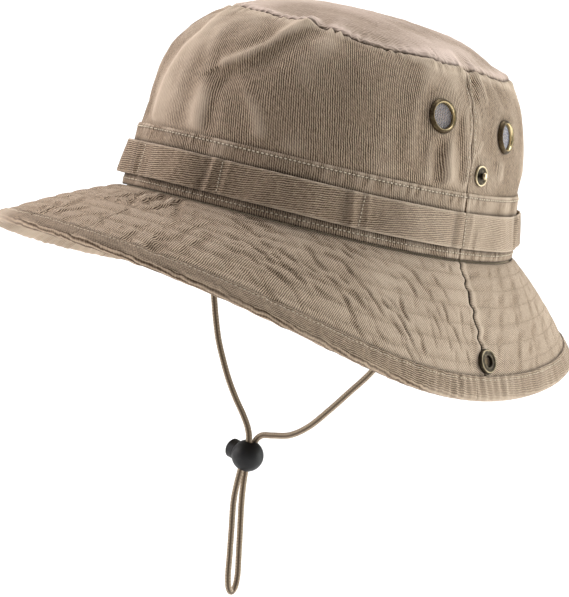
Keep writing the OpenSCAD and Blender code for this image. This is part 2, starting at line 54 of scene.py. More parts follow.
LEFT, RIGHT = 1, -1
rng = np.random.default_rng(11)

# ---- Camera


LENS, SENSOR = 192.3, 36             # millimetres
DISTANCE = 1.5
AIM_RIGHT, AIM_UP = -0.0165, -0.038  # how far the aim is from the origin, across the picture and up it


def add_camera():
    """A long lens, level with the hat's left front, rolled as the hat is tilted."""
    azimuth, elevation, roll = (math.radians(a) for a in (40.06, 2.82, 11.19))
    back = Vector((math.sin(azimuth) * math.cos(elevation), -math.cos(azimuth) * math.cos(elevation),
                   math.sin(elevation)))
    right = Vector((math.cos(azimuth), math.sin(azimuth), 0))
    up = back.cross(right)
    across = math.cos(roll) * right + math.sin(roll) * up
    above = math.cos(roll) * up - math.sin(roll) * right
    aim = AIM_RIGHT * across + AIM_UP * above
    place = DISTANCE * back
    look = (place - aim).normalized()
    side = above.cross(look).normalized()
    data = bpy.data.cameras.new("camera")
    data.lens = LENS
    data.sensor_width = SENSOR
    data.clip_end = 50
    camera = bpy.data.objects.new("camera", data)
    turn = Matrix((side, look.cross(side), look)).transposed().to_4x4()
    camera.matrix_world = Matrix.Translation(place) @ turn
    bpy.context.scene.collection.objects.link(camera)
    bpy.context.scene.camera = camera
    return back, across, above


TO_CAMERA, ACROSS, ABOVE = add_camera()

# ---- Materials: small helpers, then one function for each kind of surface


class Nodes:
    """A material's node tree with short calls for the nodes used here."""

    def __init__(self, name):
        self.material = bpy.data.materials.new(name)
        self.material.use_nodes = True
        self.tree = self.material.node_tree
        self.shader = self.tree.nodes["Principled BSDF"]

    def add(self, kind, output=0, values=None, **settings):
        made = self.tree.nodes.new(kind)
        for key, value in settings.items():
            setattr(made, key, value)
        for key, value in (values or {}).items():
            self.put(made.inputs[key], value)
        return made.outputs[output]

    def put(self, socket, value):
        if isinstance(value, bpy.types.NodeSocket):
            self.tree.links.new(value, socket)
        else:
            socket.default_value = value

    def math(self, operation, a, b=0.0, c=0.0, clamp=False):
        return self.add("ShaderNodeMath", values={0: a, 1: b, 2: c}, operation=operation, use_clamp=clamp)

    def plus(self, a, b, clamp=False):
        return self.math("ADD", a, b, clamp=clamp)

    def times(self, a, b):
        return self.math("MULTIPLY", a, b)

    def scaled(self, a, factor, shift, clamp=False):
        return self.math("MULTIPLY_ADD", a, factor, shift, clamp)

    def wave(self, turns):
        return self.math("SINE", self.times(turns, 2 * math.pi))

    def noise(self, vector, scale, detail=2.0, roughness=0.5):
        values = {"Vector": vector, "Scale": scale, "Detail": detail, "Roughness": roughness}
        return self.add("ShaderNodeTexNoise", values=values)

    def mix(self, factor, a, b, blend="MIX"):
        return self.add("ShaderNodeMix", output=2, values={0: factor, 6: a, 7: b}, data_type="RGBA",
                        blend_type=blend)

    def attribute(self, name):
        return self.add("ShaderNodeAttribute", output=2, attribute_name=name)

    def flat(self):
        """The cloth's own flat coordinates, in metres, and its two parts."""
        vector = self.add("ShaderNodeUVMap", uv_map="flat")
        split = self.tree.nodes.new("ShaderNodeSeparateXYZ")
        self.put(split.inputs[0], vector)
        return vector, split.outputs[0], split.outputs[1]

    def bump(self, height, distance):
        values = {"Height": height, "Distance": distance, "Strength": 1.0}
        self.put(self.shader.inputs["Normal"], self.add("ShaderNodeBump", values=values))

    def finish(self, colour, **sockets):
        for key, value in {"Base_Color": colour, **sockets}.items():
            self.put(self.shader.inputs[key.replace("_", " ")], value)
        return self.material


def rgb(r, g, b):
    return (r, g, b, 1.0)


def twill(name, pale, dark, faded_and_lit, lean=0.0, pitch=1.25 * MM, contrast=1.0, relief=0.25 * MM):
    """Washed cotton twill. lean is the angle of its ribs from the flat pattern's second direction."""
    n = Nodes(name)
    vector, u, v = n.flat()
    c, s = math.cos(math.radians(lean)) / pitch, math.sin(math.radians(lean)) / pitch
    across = n.plus(n.times(u, c), n.times(v, -s))
    along = n.plus(n.times(u, s), n.times(v, c))
    phase = n.plus(across, n.times(n.noise(vector, 85.0, 4.0, 0.6), 2.1))
    rib = n.wave(phase)
    thread = n.wave(n.plus(n.times(along, 0.85), n.times(phase, 0.55)))
    # Each rib breaks up into short floats, some paler than others
    cell = n.add("ShaderNodeCombineXYZ", values={0: phase, 1: n.times(along, 0.38), 2: 0.0})
    floats = n.scaled(n.noise(cell, 1.3, 1.0), 2.0, -1.0)
    weave = n.plus(n.plus(n.times(rib, 0.80), n.times(thread, 0.18)), n.times(floats, 0.75))
    fibre = n.noise(vector, 900.0, 3.0, 0.7)
    # The ribs show more in some places than in others, as on cloth that was washed in folds
    shown = n.scaled(n.noise(vector, 45.0, 3.0), 1.9, -0.15, clamp=True)
    # This attribute holds real wear on ridges, edges and seams, and also painted light: paler, smoother cloth
    # where the side lamps fall.
    wear_and_painted_light = n.attribute("wear_and_painted_light")
    depth = n.times(shown, n.scaled(wear_and_painted_light, -1.05, 1.35, clamp=True))
    # The dark end of the rib pattern is partly the weave's own tone and partly painted shade in the grooves
    # between ribs.
    tone = n.scaled(weave, n.times(depth, 0.62 * contrast), 0.44)
    tone = n.plus(tone, n.scaled(fibre, 0.40, -0.20), clamp=True)
    patchy = n.scaled(n.noise(vector, 26.0, 4.0, 0.6), 0.8, -0.40)
    fade = n.plus(n.scaled(wear_and_painted_light, 1.4, -0.66), patchy, clamp=True)
    soft = n.scaled(weave, n.times(depth, 0.2 * contrast), 0.5, clamp=True)
    worn = n.mix(soft, rgb(*(0.62 * x for x in faded_and_lit[:3])), rgb(*(1.12 * x for x in faded_and_lit[:3])))
    colour = n.mix(fade, n.mix(tone, dark, pale), worn)
    # Painted shade: this attribute darkens the cloth's colour in seams, grooves, under strip edges and at
    # folds, where shade falls.
    shade = n.scaled(n.attribute("painted_crease_shade"), -0.9, 1.0, clamp=True)
    grey = n.add("ShaderNodeCombineColor", values={0: shade, 1: shade, 2: shade})
    colour = n.mix(1.0, colour, grey, "MULTIPLY")
    n.bump(n.plus(n.times(weave, depth), n.times(fibre, 0.7)), relief)
    return n.finish(colour, Roughness=0.95, Sheen_Weight=0.08, Sheen_Roughness=0.5, Specular_IOR_Level=0.1)


def thread_material(name, colour, shade):
    n = Nodes(name)
    vector = n.add("ShaderNodeTexCoord", output=3)
    mixed = n.mix(n.noise(vector, 700.0, 2.0), shade, colour)
    n.bump(n.noise(vector, 2500.0, 1.0), 0.1 * MM)
    return n.finish(mixed, Roughness=0.8, Specular_IOR_Level=0.2)


def metal(name, bright, dark, roughness, grain=600.0):
    """Plated metal that is worn bright where the patina attribute is low and dark where it is high."""
    n = Nodes(name)
    vector = n.add("ShaderNodeTexCoord", output=3)
    spots = n.noise(vector, grain, 4.0, 0.65)
    patina = n.plus(n.attribute("patina"), n.scaled(spots, 0.7, -0.35), clamp=True)
    n.bump(spots, 0.03 * MM)
    return n.finish(n.mix(patina, bright, dark), Metallic=1.0, Roughness=n.scaled(patina, 0.25, roughness))


def plastic(name, colour, worn):
    n = Nodes(name)
    vector = n.add("ShaderNodeTexCoord", output=3)
    cloud = n.noise(vector, 180.0, 4.0, 0.6)
    n.bump(n.noise(vector, 1900.0, 3.0, 0.6), 0.05 * MM)
    rough = n.scaled(cloud, 0.2, 0.42)
    return n.finish(n.mix(cloud, colour, worn), Specular_IOR_Level=0.28, Roughness=rough)


def cord_material(name, pale, dark):
    """A braided cord: two sets of slanting strands round it."""
    n = Nodes(name)
    vector, u, v = n.flat()
    turn = n.times(v, 2 * math.pi * 4)
    run = n.times(u, 2 * math.pi / (1.5 * MM))
    one = n.math("SINE", n.plus(run, turn))
    two = n.math("SINE", n.math("SUBTRACT", run, turn))
    braid = n.scaled(n.math("MAXIMUM", one, two), 0.5, 0.5)
    fibre = n.noise(n.add("ShaderNodeTexCoord", output=3), 1500.0, 2.0)
    tone = n.plus(n.times(braid, 0.55), n.times(fibre, 0.45))
    # Painted shade: the grooves between the cord's two ribs are darkened.
    tone = n.math("SUBTRACT", tone, n.attribute("painted_crease_shade"), clamp=True)
    n.bump(braid, 0.12 * MM)
    return n.finish(n.mix(tone, dark, pale), Roughness=0.75, Sheen_Weight=0.1, Specular_IOR_Level=0.25)


# The dark colour, between the ribs, is partly the weave's own tone and partly painted shade in the grooves. The
# third colour is the paler tone of worn cloth, also used as painted light where the side lamps fall.
PALE, DARK, FADED_AND_LIT = rgb(0.52, 0.395, 0.285), rgb(0.085, 0.055, 0.035), rgb(0.64, 0.515, 0.400)


def washed(part, **how):
    return twill("washed_twill_" + part, PALE, DARK, FADED_AND_LIT, **how)


TWILL_CROWN = washed("crown", lean=-11, pitch=1.12 * MM, contrast=1.7)
TWILL_TIP = twill("washed_twill_tip", rgb(0.56, 0.43, 0.345), rgb(0.20, 0.15, 0.11), rgb(0.72, 0.575, 0.50),
                  lean=38)
TWILL_BAND = washed("band", lean=-6, pitch=1.05 * MM, contrast=1.15)
TWILL_RIBBON = washed("ribbon", lean=82, pitch=0.95 * MM, contrast=1.25)
TWILL_BRIM = washed("brim", lean=7, pitch=0.87 * MM, contrast=3.4, relief=0.22 * MM)
TWILL_BINDING = washed("binding", lean=88, pitch=0.95 * MM, contrast=1.1)
TWILL_UNDER = twill("washed_twill_under", rgb(0.40, 0.345, 0.235), rgb(0.16, 0.13, 0.08), rgb(0.48, 0.42, 0.30),
                    lean=-40, contrast=0.8)
LINING = twill("sweatband_cotton", rgb(0.44, 0.37, 0.27), rgb(0.22, 0.18, 0.12), rgb(0.50, 0.43, 0.33),
               lean=45, pitch=0.9 * MM, contrast=0.6)
THREAD = thread_material("sewing_thread", rgb(0.78, 0.68, 0.54), rgb(0.50, 0.42, 0.32))
THREAD_WORN = thread_material("worn_thread", rgb(0.46, 0.37, 0.28), rgb(0.22, 0.17, 0.12))
CORD = cord_material("braided_cord", rgb(0.56, 0.45, 0.33), rgb(0.12, 0.085, 0.055))
BRASS = metal("antique_brass", rgb(0.72, 0.58, 0.33), rgb(0.065, 0.045, 0.025), 0.26)
DARK_BRASS = metal("dark_brass", rgb(0.50, 0.41, 0.27), rgb(0.035, 0.028, 0.02), 0.3)
# Near-black brass for the snap caps: partly age, partly painted shade, so that the socket holes look dark.
AGED_AND_SHADE_BRASS = metal("aged_and_shade_brass", rgb(0.11, 0.08, 0.05), rgb(0.04, 0.03, 0.02), 0.45)
STEEL = metal("dull_steel", rgb(0.50, 0.49, 0.46), rgb(0.18, 0.175, 0.165), 0.35)
WIRE = metal("grey_mesh_wire", rgb(0.42, 0.44, 0.52), rgb(0.10, 0.10, 0.13), 0.42)
# Near-black plastic for the discs behind the vents: painted shade where the hat's inside shows through.
VENT_PAINTED_SHADE = plastic("vent_shadow", rgb(0.02, 0.02, 0.024), rgb(0.035, 0.035, 0.04))
BLACK = plastic("matte_black_plastic", rgb(0.004, 0.004, 0.0045), rgb(0.008, 0.008, 0.009))

# ---- Mesh building


def unit(vectors):
    return vectors / np.linalg.norm(vectors, axis=-1, keepdims=True)


def add_object(name, points, faces, material, uv=None, fields=None, rim_start=None):
    """A smooth mesh object. Faces from rim_start on are flat, which keeps a panel's edge crisp."""
    mesh = bpy.data.meshes.new(name)
    mesh.from_pydata(np.asarray(points, float).reshape(-1, 3).tolist(), [], faces)
    smooth = np.ones(len(faces), bool)
    if rim_start is not None:
        smooth[rim_start:] = False
    mesh.polygons.foreach_set("use_smooth", smooth)
    if uv is not None:
        corner = np.zeros(len(mesh.loops), np.int32)
        mesh.loops.foreach_get("vertex_index", corner)
        layer = mesh.uv_layers.new(name="flat")
        layer.data.foreach_set("uv", np.asarray(uv, np.float32).reshape(-1, 2)[corner].ravel())
    for key, values in (fields or {}).items():
        field = mesh.attributes.new(key, "FLOAT", "POINT")
        field.data.foreach_set("value", np.asarray(values, np.float32).ravel())
    mesh.materials.append(material)
    mesh.update()
    made = bpy.data.objects.new(name, mesh)
    bpy.context.scene.collection.objects.link(made)
    return made


def grid_faces(rows, columns, start=0, closed=False, flip=False):
    """Quads of a grid. Seen from outside, columns run to the right and rows run up."""
    i, j = np.meshgrid(np.arange(rows - 1), np.arange(columns if closed else columns - 1), indexing="ij")
    k = (j + 1) % columns
    quads = np.stack([i * columns + j, i * columns + k, (i + 1) * columns + k, (i + 1) * columns + j], -1)
    quads = quads.reshape(-1, 4) + start
    return (quads[:, ::-1] if flip else quads).tolist()


def rim_faces(loop, shift):
    """Quads that join a closed loop of outer points to the same loop of inner points."""
    after = np.roll(loop, -1)
    return np.stack([after, loop, loop + shift, after + shift], -1).tolist()


def cloth(name, outer, inner, material, uv, wear_and_painted_light, painted_crease_shade=0.0, flip=False):
    """A closed piece of cloth from its outer and inner grids."""
    rows, columns = outer.shape[:2]
    count = rows * columns
    index = np.arange(count).reshape(rows, columns)
    loop = np.concatenate([index[0, :-1], index[:-1, -1], index[-1, :0:-1], index[:0:-1, 0]])
    if flip:
        loop = loop[::-1]
    faces = grid_faces(rows, columns, 0, flip=flip) + grid_faces(rows, columns, count, flip=not flip)
    rim_start = len(faces)
    faces += rim_faces(loop, count)
    fields = {"wear_and_painted_light": [np.clip(wear_and_painted_light, 0, 1)] * 2, "painted_crease_shade": [np.clip(painted_crease_shade + 0 * wear_and_painted_light, 0, 1)] * 2}
    return add_object(name, np.stack([outer, inner]), faces, material, [uv, uv], fields, rim_start)


def on_hat(piece, node):
    """The piece stands for the node and never moves."""
    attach(piece, "root")
    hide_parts(node)


def lathe(name, profile, place, material, segments=72, patina=None, sharp=40):
    """A turned piece from (radius, height) points in millimetres, each with its share of patina."""
    profile = np.array(profile, float) * MM
    turn = np.linspace(0, 2 * math.pi, segments, endpoint=False)
    ring = np.stack([np.cos(turn), np.sin(turn)], -1)
    points = np.concatenate([np.column_stack([ring * r, np.full(segments, z)]) for r, z in profile])
    faces = grid_faces(len(profile), segments, closed=True, flip=True)
    last = (len(profile) - 1) * segments
    faces += [[last + j, last + (j + 1) % segments, (j + 1) % segments, j][::-1] for j in range(segments)]
    patina = np.repeat(np.zeros(len(profile)) if patina is None else np.array(patina, float), segments)
    made = add_object(name, points, faces, material, fields={"patina": patina})
    made.data.set_sharp_from_angle(angle=math.radians(sharp))
    made.data.transform(place)
    return made


def tubes(name, paths, radius, material, sides=6, closed=False, patina=0.0):
    """Thin round tubes along several paths, in one mesh."""
    points, faces, start = [], [], 0
    for path in paths:
        path = np.asarray(path, float)
        tangent = unit(np.gradient(path, axis=0))
        side = unit(np.cross(tangent, np.array([0.31, 0.27, 0.91])))
        lift = np.cross(side, tangent)
        for a in np.linspace(0, 2 * math.pi, sides, endpoint=False):
            points.append(path + radius * (math.cos(a) * side + math.sin(a) * lift))
        ring = len(path)
        for k in range(sides):
            a, b = start + k * ring, start + (k + 1) % sides * ring
            faces += [[a + i, a + i + 1, b + i + 1, b + i] for i in range(ring - 1)]
        faces.append([start + k * ring for k in range(sides)])
        faces.append([start + k * ring + ring - 1 for k in reversed(range(sides))])
        start += sides * ring
    points = np.concatenate(points)
    return add_object(name, points, faces, material, fields={"patina": np.full(len(points), patina)})


# A stitch in rings: place along it, half width and height
STITCH_RINGS = ((-1.0, 0.3, -0.9), (-0.72, 0.85, -0.2), (0.0, 1.0, 0.25), (0.72, 0.85, -0.2), (1.0, 0.3, -0.9))
STITCH_SIDES = 6


def sampled(values, place, where):
    """Values along a run, at other places on it."""
    return np.stack([np.interp(where, place, column) for column in values.T], -1)


def stitches(name, runs, length=1.45 * MM, gap=0.65 * MM, radius=0.31 * MM, material=THREAD):
    """Running stitches along each (points, normals) run: rounded threads whose ends dive into the cloth."""
    turn = np.linspace(0, 2 * math.pi, STITCH_SIDES, endpoint=False)
    shape = np.array([[x * length / 2, w * radius * math.cos(a), w * radius * math.sin(a) + lift * radius]
                      for x, w, lift in STITCH_RINGS for a in turn])
    faces = np.array(grid_faces(len(STITCH_RINGS), STITCH_SIDES, closed=True, flip=True))
    points, quads, start = [], [], 0
    for path, normal in runs:
        step = np.linalg.norm(np.diff(path, axis=0), axis=1)
        place = np.concatenate([[0], np.cumsum(step)])
        count = max(1, int(place[-1] / (length + gap)))
        middle = (np.arange(count) + 0.5) * place[-1] / count
        at, up = sampled(path, place, middle), sampled(normal, place, middle)
        along = unit(sampled(path, place, middle + length / 2) - sampled(path, place, middle - length / 2))
        side = unit(np.cross(up, along))
        basis = np.stack([along, side, np.cross(along, side)], 1)
        points.append((np.einsum("pc,ncx->npx", shape, basis) + at[:, None]).reshape(-1, 3))
        quads.append((faces[None] + (start + np.arange(count) * len(shape))[:, None, None]).reshape(-1, 4))
        start += count * len(shape)
    return add_object(name, np.concatenate(points), np.concatenate(quads).tolist(), material)


# ---- Soft noise


def waves(x, y, length, heading=None, spread=180.0, count=24, seed=1):
    """Smooth noise from plane waves about length long, near 1 at its highest, that run near a heading."""
    r = np.random.default_rng(seed)
    total = 0.0
    for _ in range(count):
        turn = math.radians((0.0 if heading is None else heading) + r.uniform(-spread, spread))
        k = 2 * math.pi / (length * r.uniform(0.72, 1.4))
        total = total + np.cos(k * (x * math.sin(turn) + y * math.cos(turn)) + r.uniform(0, 2 * math.pi))
    return total / math.sqrt(count)


def solid_waves(p, length, count=24, seed=1, squash=(1.0, 1.0, 1.0)):
    """The same in space, so that it has no seam round the hat."""
    r = np.random.default_rng(seed)
    total = 0.0
    for _ in range(count):
        way = r.normal(size=3)
        way *= np.array(squash) / np.linalg.norm(way)
        k = 2 * math.pi / (length * r.uniform(0.72, 1.4))
        total = total + np.cos(k * (p @ way) + r.uniform(0, 2 * math.pi))
    return total / math.sqrt(count)


def bell(x, width):
    return np.exp(-(x / width) ** 2)


def ramp(x, low, high):
    t = np.clip((x - low) / (high - low), 0, 1)
    return t * t * (3 - 2 * t)


# ---- The hat's surfaces, as in the part's own source

CROWN_W, CROWN_L, CROWN_H = 84.9 * MM, 102.3 * MM, 99.6 * MM
CROWN_TAPER, SHOULDER = 0.10, 6.4
SIDE_DIP = 5 * MM
TIP_SEAM_Z, TIP_SEAM_TILT = 84.5 * MM, 5 * MM
CLOTH = 0.9 * MM
GAP = 0.05 * MM
BRIM_W, BRIM_BACK_W = 63.5 * MM, 53 * MM
DROOP_FRONT, DROOP_BACK, DROOP_SIDE, DROOP_CORNER = 22, 45, 52, 40
DROOP_LEAN, DROOP_CORNER_LEAN, DROOP_BACK_LEAN, DROOP_TWIST = 15, 6, 6, 2
BACK_LEAN = DROOP_BACK_LEAN / math.sqrt(2)
LEAN_ONE = (DROOP_LEAN + math.sqrt(2) * DROOP_CORNER_LEAN) / 2
LEAN_THREE = (DROOP_LEAN - math.sqrt(2) * DROOP_CORNER_LEAN) / 2
CURL = 0.3
BINDING_W = 9 * MM
BAND_H, RIBBON_Z, RIBBON_H, SWEATBAND_H = 30 * MM, 6 * MM, 15.5 * MM, 32 * MM
BAND_FOOT, SWEATBAND_FOOT = 0.011, 0.002     # shares of the crown's height
SWEATBAND_T = 0.8 * MM


def sin(T):
    return np.sin(np.radians(T))


def cos(T):
    return np.cos(np.radians(T))


def girth(t):
    return (1 - CROWN_TAPER * t) * np.sqrt(np.maximum(0, 1 - t**SHOULDER))


def crown_point(T, t, off=0.0):
    g = girth(t)
    z = (CROWN_H - off) * t - SIDE_DIP * cos(T) ** 2 * (1 - t)
    return np.stack([(CROWN_W - off) * g * cos(T), (CROWN_L - off) * g * sin(T), z], -1)


def height_share(T, z):
    """Share t of the crown's height at which the wall at T has height z."""
    foot = -SIDE_DIP * cos(T) ** 2
    return (z - foot) / (CROWN_H - foot)


def seam_share(T):
    return (TIP_SEAM_Z - TIP_SEAM_TILT * cos(T - 60)) / CROWN_H


def droop(T):
    ends = (DROOP_FRONT + DROOP_BACK) / 2
    lobe = (DROOP_FRONT - DROOP_BACK) / 2
    mean = (DROOP_SIDE + ends) / 4 + DROOP_CORNER / 2
    two = (DROOP_SIDE - ends) / 2
    four = (DROOP_SIDE + ends) / 4 - DROOP_CORNER / 2
    return (mean + two * cos(2 * T) + four * cos(4 * T) - lobe * (0.5 * sin(T) - 0.5 * sin(3 * T))
            + LEAN_ONE * cos(T) + LEAN_THREE * cos(3 * T) + BACK_LEAN * (sin(T) + sin(3 * T))
            - DROOP_TWIST * sin(2 * T))


def brim_width(T):
    return BRIM_W - (BRIM_W - BRIM_BACK_W) * np.maximum(0, sin(T)) ** 2


def outward(T):
    x, y = cos(T) / CROWN_W, sin(T) / CROWN_L
    length = np.hypot(x, y)
    return x / length, y / length


def brim_point(T, d):
    """Point of the brim's middle surface, at share d of its width."""
    out_x, out_y = outward(T)
    run, fall = brim_width(T) * cos(droop(T)), brim_width(T) * sin(droop(T))
    z = -SIDE_DIP * cos(T) ** 2 - fall * ((1 - CURL) * d + CURL * d * d)
    return np.stack([(CROWN_W + GAP) * cos(T) + run * d * out_x, (CROWN_L + GAP) * sin(T) + run * d * out_y,
                     z + 0 * run], -1)


def lifted(surface, a, b, lift, sign=1):
    """Points of a surface moved by lift along its normal, and the normals."""
    e = 1e-3     # small steps, in shares and in tenths of a degree
    da = surface(a + 100 * e, b) - surface(a - 100 * e, b)
    db = surface(a, b + e) - surface(a, b - e)
    normal = sign * np.cross(da, db)
    normal /= np.maximum(np.linalg.norm(normal, axis=-1, keepdims=True), 1e-12)
    return surface(a, b) + np.asarray(lift)[..., None] * normal, normal


def shell(surface, a, b, top, bottom, sign=1):
    """Outer and inner points of cloth between two lifts from a surface."""
    return [lifted(surface, a, b, lift, sign)[0] for lift in (top, bottom)]


ARC_T = np.linspace(-400, 400, 3201)
_step = np.radians(ARC_T[1] - ARC_T[0]) * np.hypot(CROWN_W * sin(ARC_T), CROWN_L * cos(ARC_T))
ARC_S = np.cumsum(_step) - np.cumsum(_step)[1600]


def arc(T):
    """Length round the crown's foot from the left side seam."""
    return np.interp(T, ARC_T, ARC_S)


def from_side(T):
    """Degrees from the nearer side seam."""
    return np.abs((T + 90) % 180 - 90)


# ---- Cord

CORD_D = 3 * MM
CORD_ROUTE = [
    (81.6, 0, -5.2), (81, 0, -10), (75.5, 0, -24), (64, 0, -42), (49, 0, -63.5), (38.5, 0, -75.5),
    (28.5, 0, -86.5), (18.5, 0, -96.5), (8, 0.3, -103), (-3, 0.9, -105.7), (-10.4, 1.5, -107.4),
    (-14.2, 1.75, -111.8), (-15.2, 1.75, -119.5), (-16.2, 1.8, -127), (-16.2, 3.2, -140),
    (-14.4, 4.1, -154), (-12.4, 4.4, -166), (-10.8, 4.5, -175), (-9.6, 3.1, -181),
    (-8.8, 0, -183.4), (-8.4, -3.1, -181), (-8.9, -4.5, -175), (-10.4, -4.4, -166),
    (-12.6, -4.1, -154), (-15.6, -3.2, -140), (-16.4, -1.8, -127), (-15.2, -1.75, -119.5),
    (-14.7, -1.7, -111.6), (-17, -1.2, -106), (-22.5, 0, -100.5), (-29.5, 0, -93.5),
    (-36, 0, -86), (-42, 0, -77.5), (-47.5, 0, -68.5), (-52, 0, -58.5),
    (-57, 0, -46), (-65, 0, -31), (-75.5, 0, -17), (-81, 0, -10), (-81.6, 0, -5.2),
]


def smooth_route(points, steps):
    """A Catmull-Rom curve through the points."""
    p = np.array(points, float)
    p = np.concatenate([p[:1], p, p[-1:]])
    f = (np.arange(steps) / steps)[:, None]
    out = []
    for a, b, c, d in zip(p[:-3], p[1:-2], p[2:-1], p[3:]):
        out.append(0.5 * (2 * b + (c - a) * f + (2 * a - 5 * b + 4 * c - d) * f * f
                          + (3 * b - a - 3 * c + d) * f**3))
    return np.concatenate(out + [p[-1:]])


def add_cord():
    path = smooth_route(CORD_ROUTE, 10) * MM
    tangent = unit(np.gradient(path, axis=0))
    groove = np.array([0.64, -0.77, 0.0])     # the way that one of its two grooves faces
    side = unit(np.cross(tangent, groove))
    face = np.cross(side, tangent)
    sides = 28
    turn = np.linspace(0, 2 * math.pi, sides, endpoint=False)
    off = np.minimum(np.abs(np.angle(np.exp(1j * turn))), np.abs(np.angle(np.exp(1j * (turn - math.pi)))))
    radius = CORD_D / 2 * (1 - 0.32 * bell(off, 0.42))
    ring = radius[None, :, None] * (np.cos(turn)[None, :, None] * face[:, None] +
                                    np.sin(turn)[None, :, None] * side[:, None])
    points = path[:, None] + ring
    rows = len(path)
    faces = grid_faces(rows, sides, closed=True)
    faces.append(list(range(sides)))
    faces.append([(rows - 1) * sides + k for k in reversed(range(sides))])
    step = np.concatenate([[0], np.cumsum(np.linalg.norm(np.diff(path, axis=0), axis=1))])
    uv = np.stack(np.broadcast_arrays(step[:, None], turn[None] / (2 * math.pi)), -1)
    # Painted shade, darkest along both grooves.
    painted_crease_shade = np.broadcast_to(bell(off, 0.4)[None], (rows, sides))
    made = add_object("chin_cord_braid", points, faces, CORD, uv, {"painted_crease_shade": painted_crease_shade})
    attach(made, "chin_cord")
    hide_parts("chin_cord")


add_cord()

# ---- Metal fittings on the crown's wall: where they are, and how the cloth lies flat round them

VENTS = {"front": (-20.5 * MM, 58.5 * MM), "back": (29 * MM, 54 * MM)}
SNAP_Y, STUD_Z, SOCKET_ALONG = 9 * MM, 35 * MM, 49 * MM


def facing(place, out, across):
    """A frame at a place, with its own +Z along out and its +Y along across."""
    turn = Matrix((across.cross(out), across, out)).transposed().to_4x4()
    return Matrix.Translation(Vector(place.tolist())) @ turn


def wall_frame(side, y, z):
    """Place of a fitting on the wall, with its own +Z pointing out of the cloth."""
    t = (z + SIDE_DIP) / (CROWN_H + SIDE_DIP)
    T = math.degrees(math.asin(y / (CROWN_L * girth(t))))
    place = crown_point(T, t)
    slope = (girth(t) - girth(t + 0.01)) / 0.01 * CROWN_W / (CROWN_H + SIDE_DIP)
    tilt = math.atan(slope)
    out_x, out_y = outward(T)
    yaw = math.atan2(out_y, out_x)
    out = Vector((math.cos(tilt) * math.cos(yaw), math.cos(tilt) * math.sin(yaw), math.sin(tilt)))
    across = Vector((-math.sin(yaw), math.cos(yaw), 0))
    if side == RIGHT:
        place = place * np.array([-1, 1, 1])
        out.x = -out.x
        across.x = -across.x
    return facing(place, out, across)


FITTINGS = [(wall_frame(side, y, z).translation, 8 * MM) for side in (LEFT, RIGHT) for y, z in VENTS.values()]
FITTINGS += [(wall_frame(side, SNAP_Y, STUD_Z).translation, 5 * MM) for side in (LEFT, RIGHT)]


def near_fitting(p):
    """1 where the cloth lies flat under a fitting, 0 away from all."""
    near = 0.0
    for place, radius in FITTINGS:
        away = np.linalg.norm(p - np.array(place), axis=-1)
        near = np.maximum(near, 1 - ramp(away, radius, radius + 7 * MM))
    return near


# ---- Crown

# Folds pressed into the crown: points (T, height in mm), how far it stands out, its half width,
# and the depth of the hollow beside it, on its right going along it
FOLDS = [
    ([(-106, 86), (-103, 74), (-108, 64), (-110, 52), (-110, 38), (-109, 30)], 1.7, 4.5, 0.5),
    ([(-63, 89), (-66, 86), (-70, 80), (-73, 74), (-78, 69), (-85, 63)], 2.3, 3.4, -1.5),
    ([(-83, 60), (-84, 48), (-84, 34)], -1.2, 3.6, 0.0),
    ([(-95, 76), (-91, 56), (-89, 34)], 1.0, 5.0, 0.0),
    ([(-75, 54), (-70, 46), (-66, 36)], 1.0, 3.4, 0.0),
    ([(-14, 84), (-19, 71), (-22, 57), (-22, 40)], 1.2, 5.0, 0.0),
    ([(-12, 50), (-12, 31)], -1.4, 3.0, 0.0),
    ([(-6, 58), (-4, 44), (-3, 33)], -1.3, 2.8, 0.0),
    ([(-9, 52), (-8, 31)], 1.1, 2.4, 0.0),
    ([(-16, 47), (-15, 31)], 1.0, 2.6, 0.0),
    ([(-13, 87), (-5, 83), (1, 78)], 1.5, 2.6, -0.8),
    ([(4, 78), (3, 70)], -1.2, 2.2, 0.0),
    ([(8, 80), (8, 70)], 1.0, 2.2, 0.0),
    ([(-3, 24), (-1, 32), (0, 40), (5, 50)], 0.7, 1.2, 0.0),
    ([(-45, 80), (-48, 60), (-46, 42)], -0.9, 7.0, 0.0),
    ([(-58, 66), (-55, 50), (-57, 34)], 0.7, 6.0, 0.0),
    ([(-32, 78), (-34, 62), (-31, 44)], 0.7, 6.0, 0.0),
    ([(14, 78), (18, 60), (16, 36)], 1.0, 4.0, 0.0),
    ([(34, 84), (40, 66), (38, 40)], 1.2, 5.0, -0.5),
    ([(54, 80), (52, 58), (57, 34)], -1.2, 4.5, 0.0),
]


def fold_lift(T, z, points, height, width, hollow):
    """Lift of one fold at points T, z of the wall."""
    x = arc(T)
    best = np.full(np.shape(x), 1e9)
    side = np.zeros(np.shape(x))
    line = np.array([(arc(a), b * MM) for a, b in points])
    for (ax, ay), (bx, by) in zip(line[:-1], line[1:]):
        dx, dy = bx - ax, by - ay
        f = np.clip(((x - ax) * dx + (z - ay) * dy) / (dx * dx + dy * dy), 0, 1)
        px, py = x - ax - f * dx, z - ay - f * dy
        away = np.hypot(px, py)
        closer = away < best
        best = np.where(closer, away, best)
        side = np.where(closer, px * dy - py * dx, side)
    best = best * np.sign(side)
    ridge = bell(best, width * MM)
    return (height * ridge + hollow * bell(best + 1.9 * width * MM, 1.6 * width * MM)) * MM


def crown_folds(T, z):
    total = 0.0
    for turn in (0, 180):
        local = (T + turn + 180) % 360 - 180
        for points, height, width, hollow in FOLDS:
            total = total + fold_lift(local, z, points, height, width, hollow)
    return total


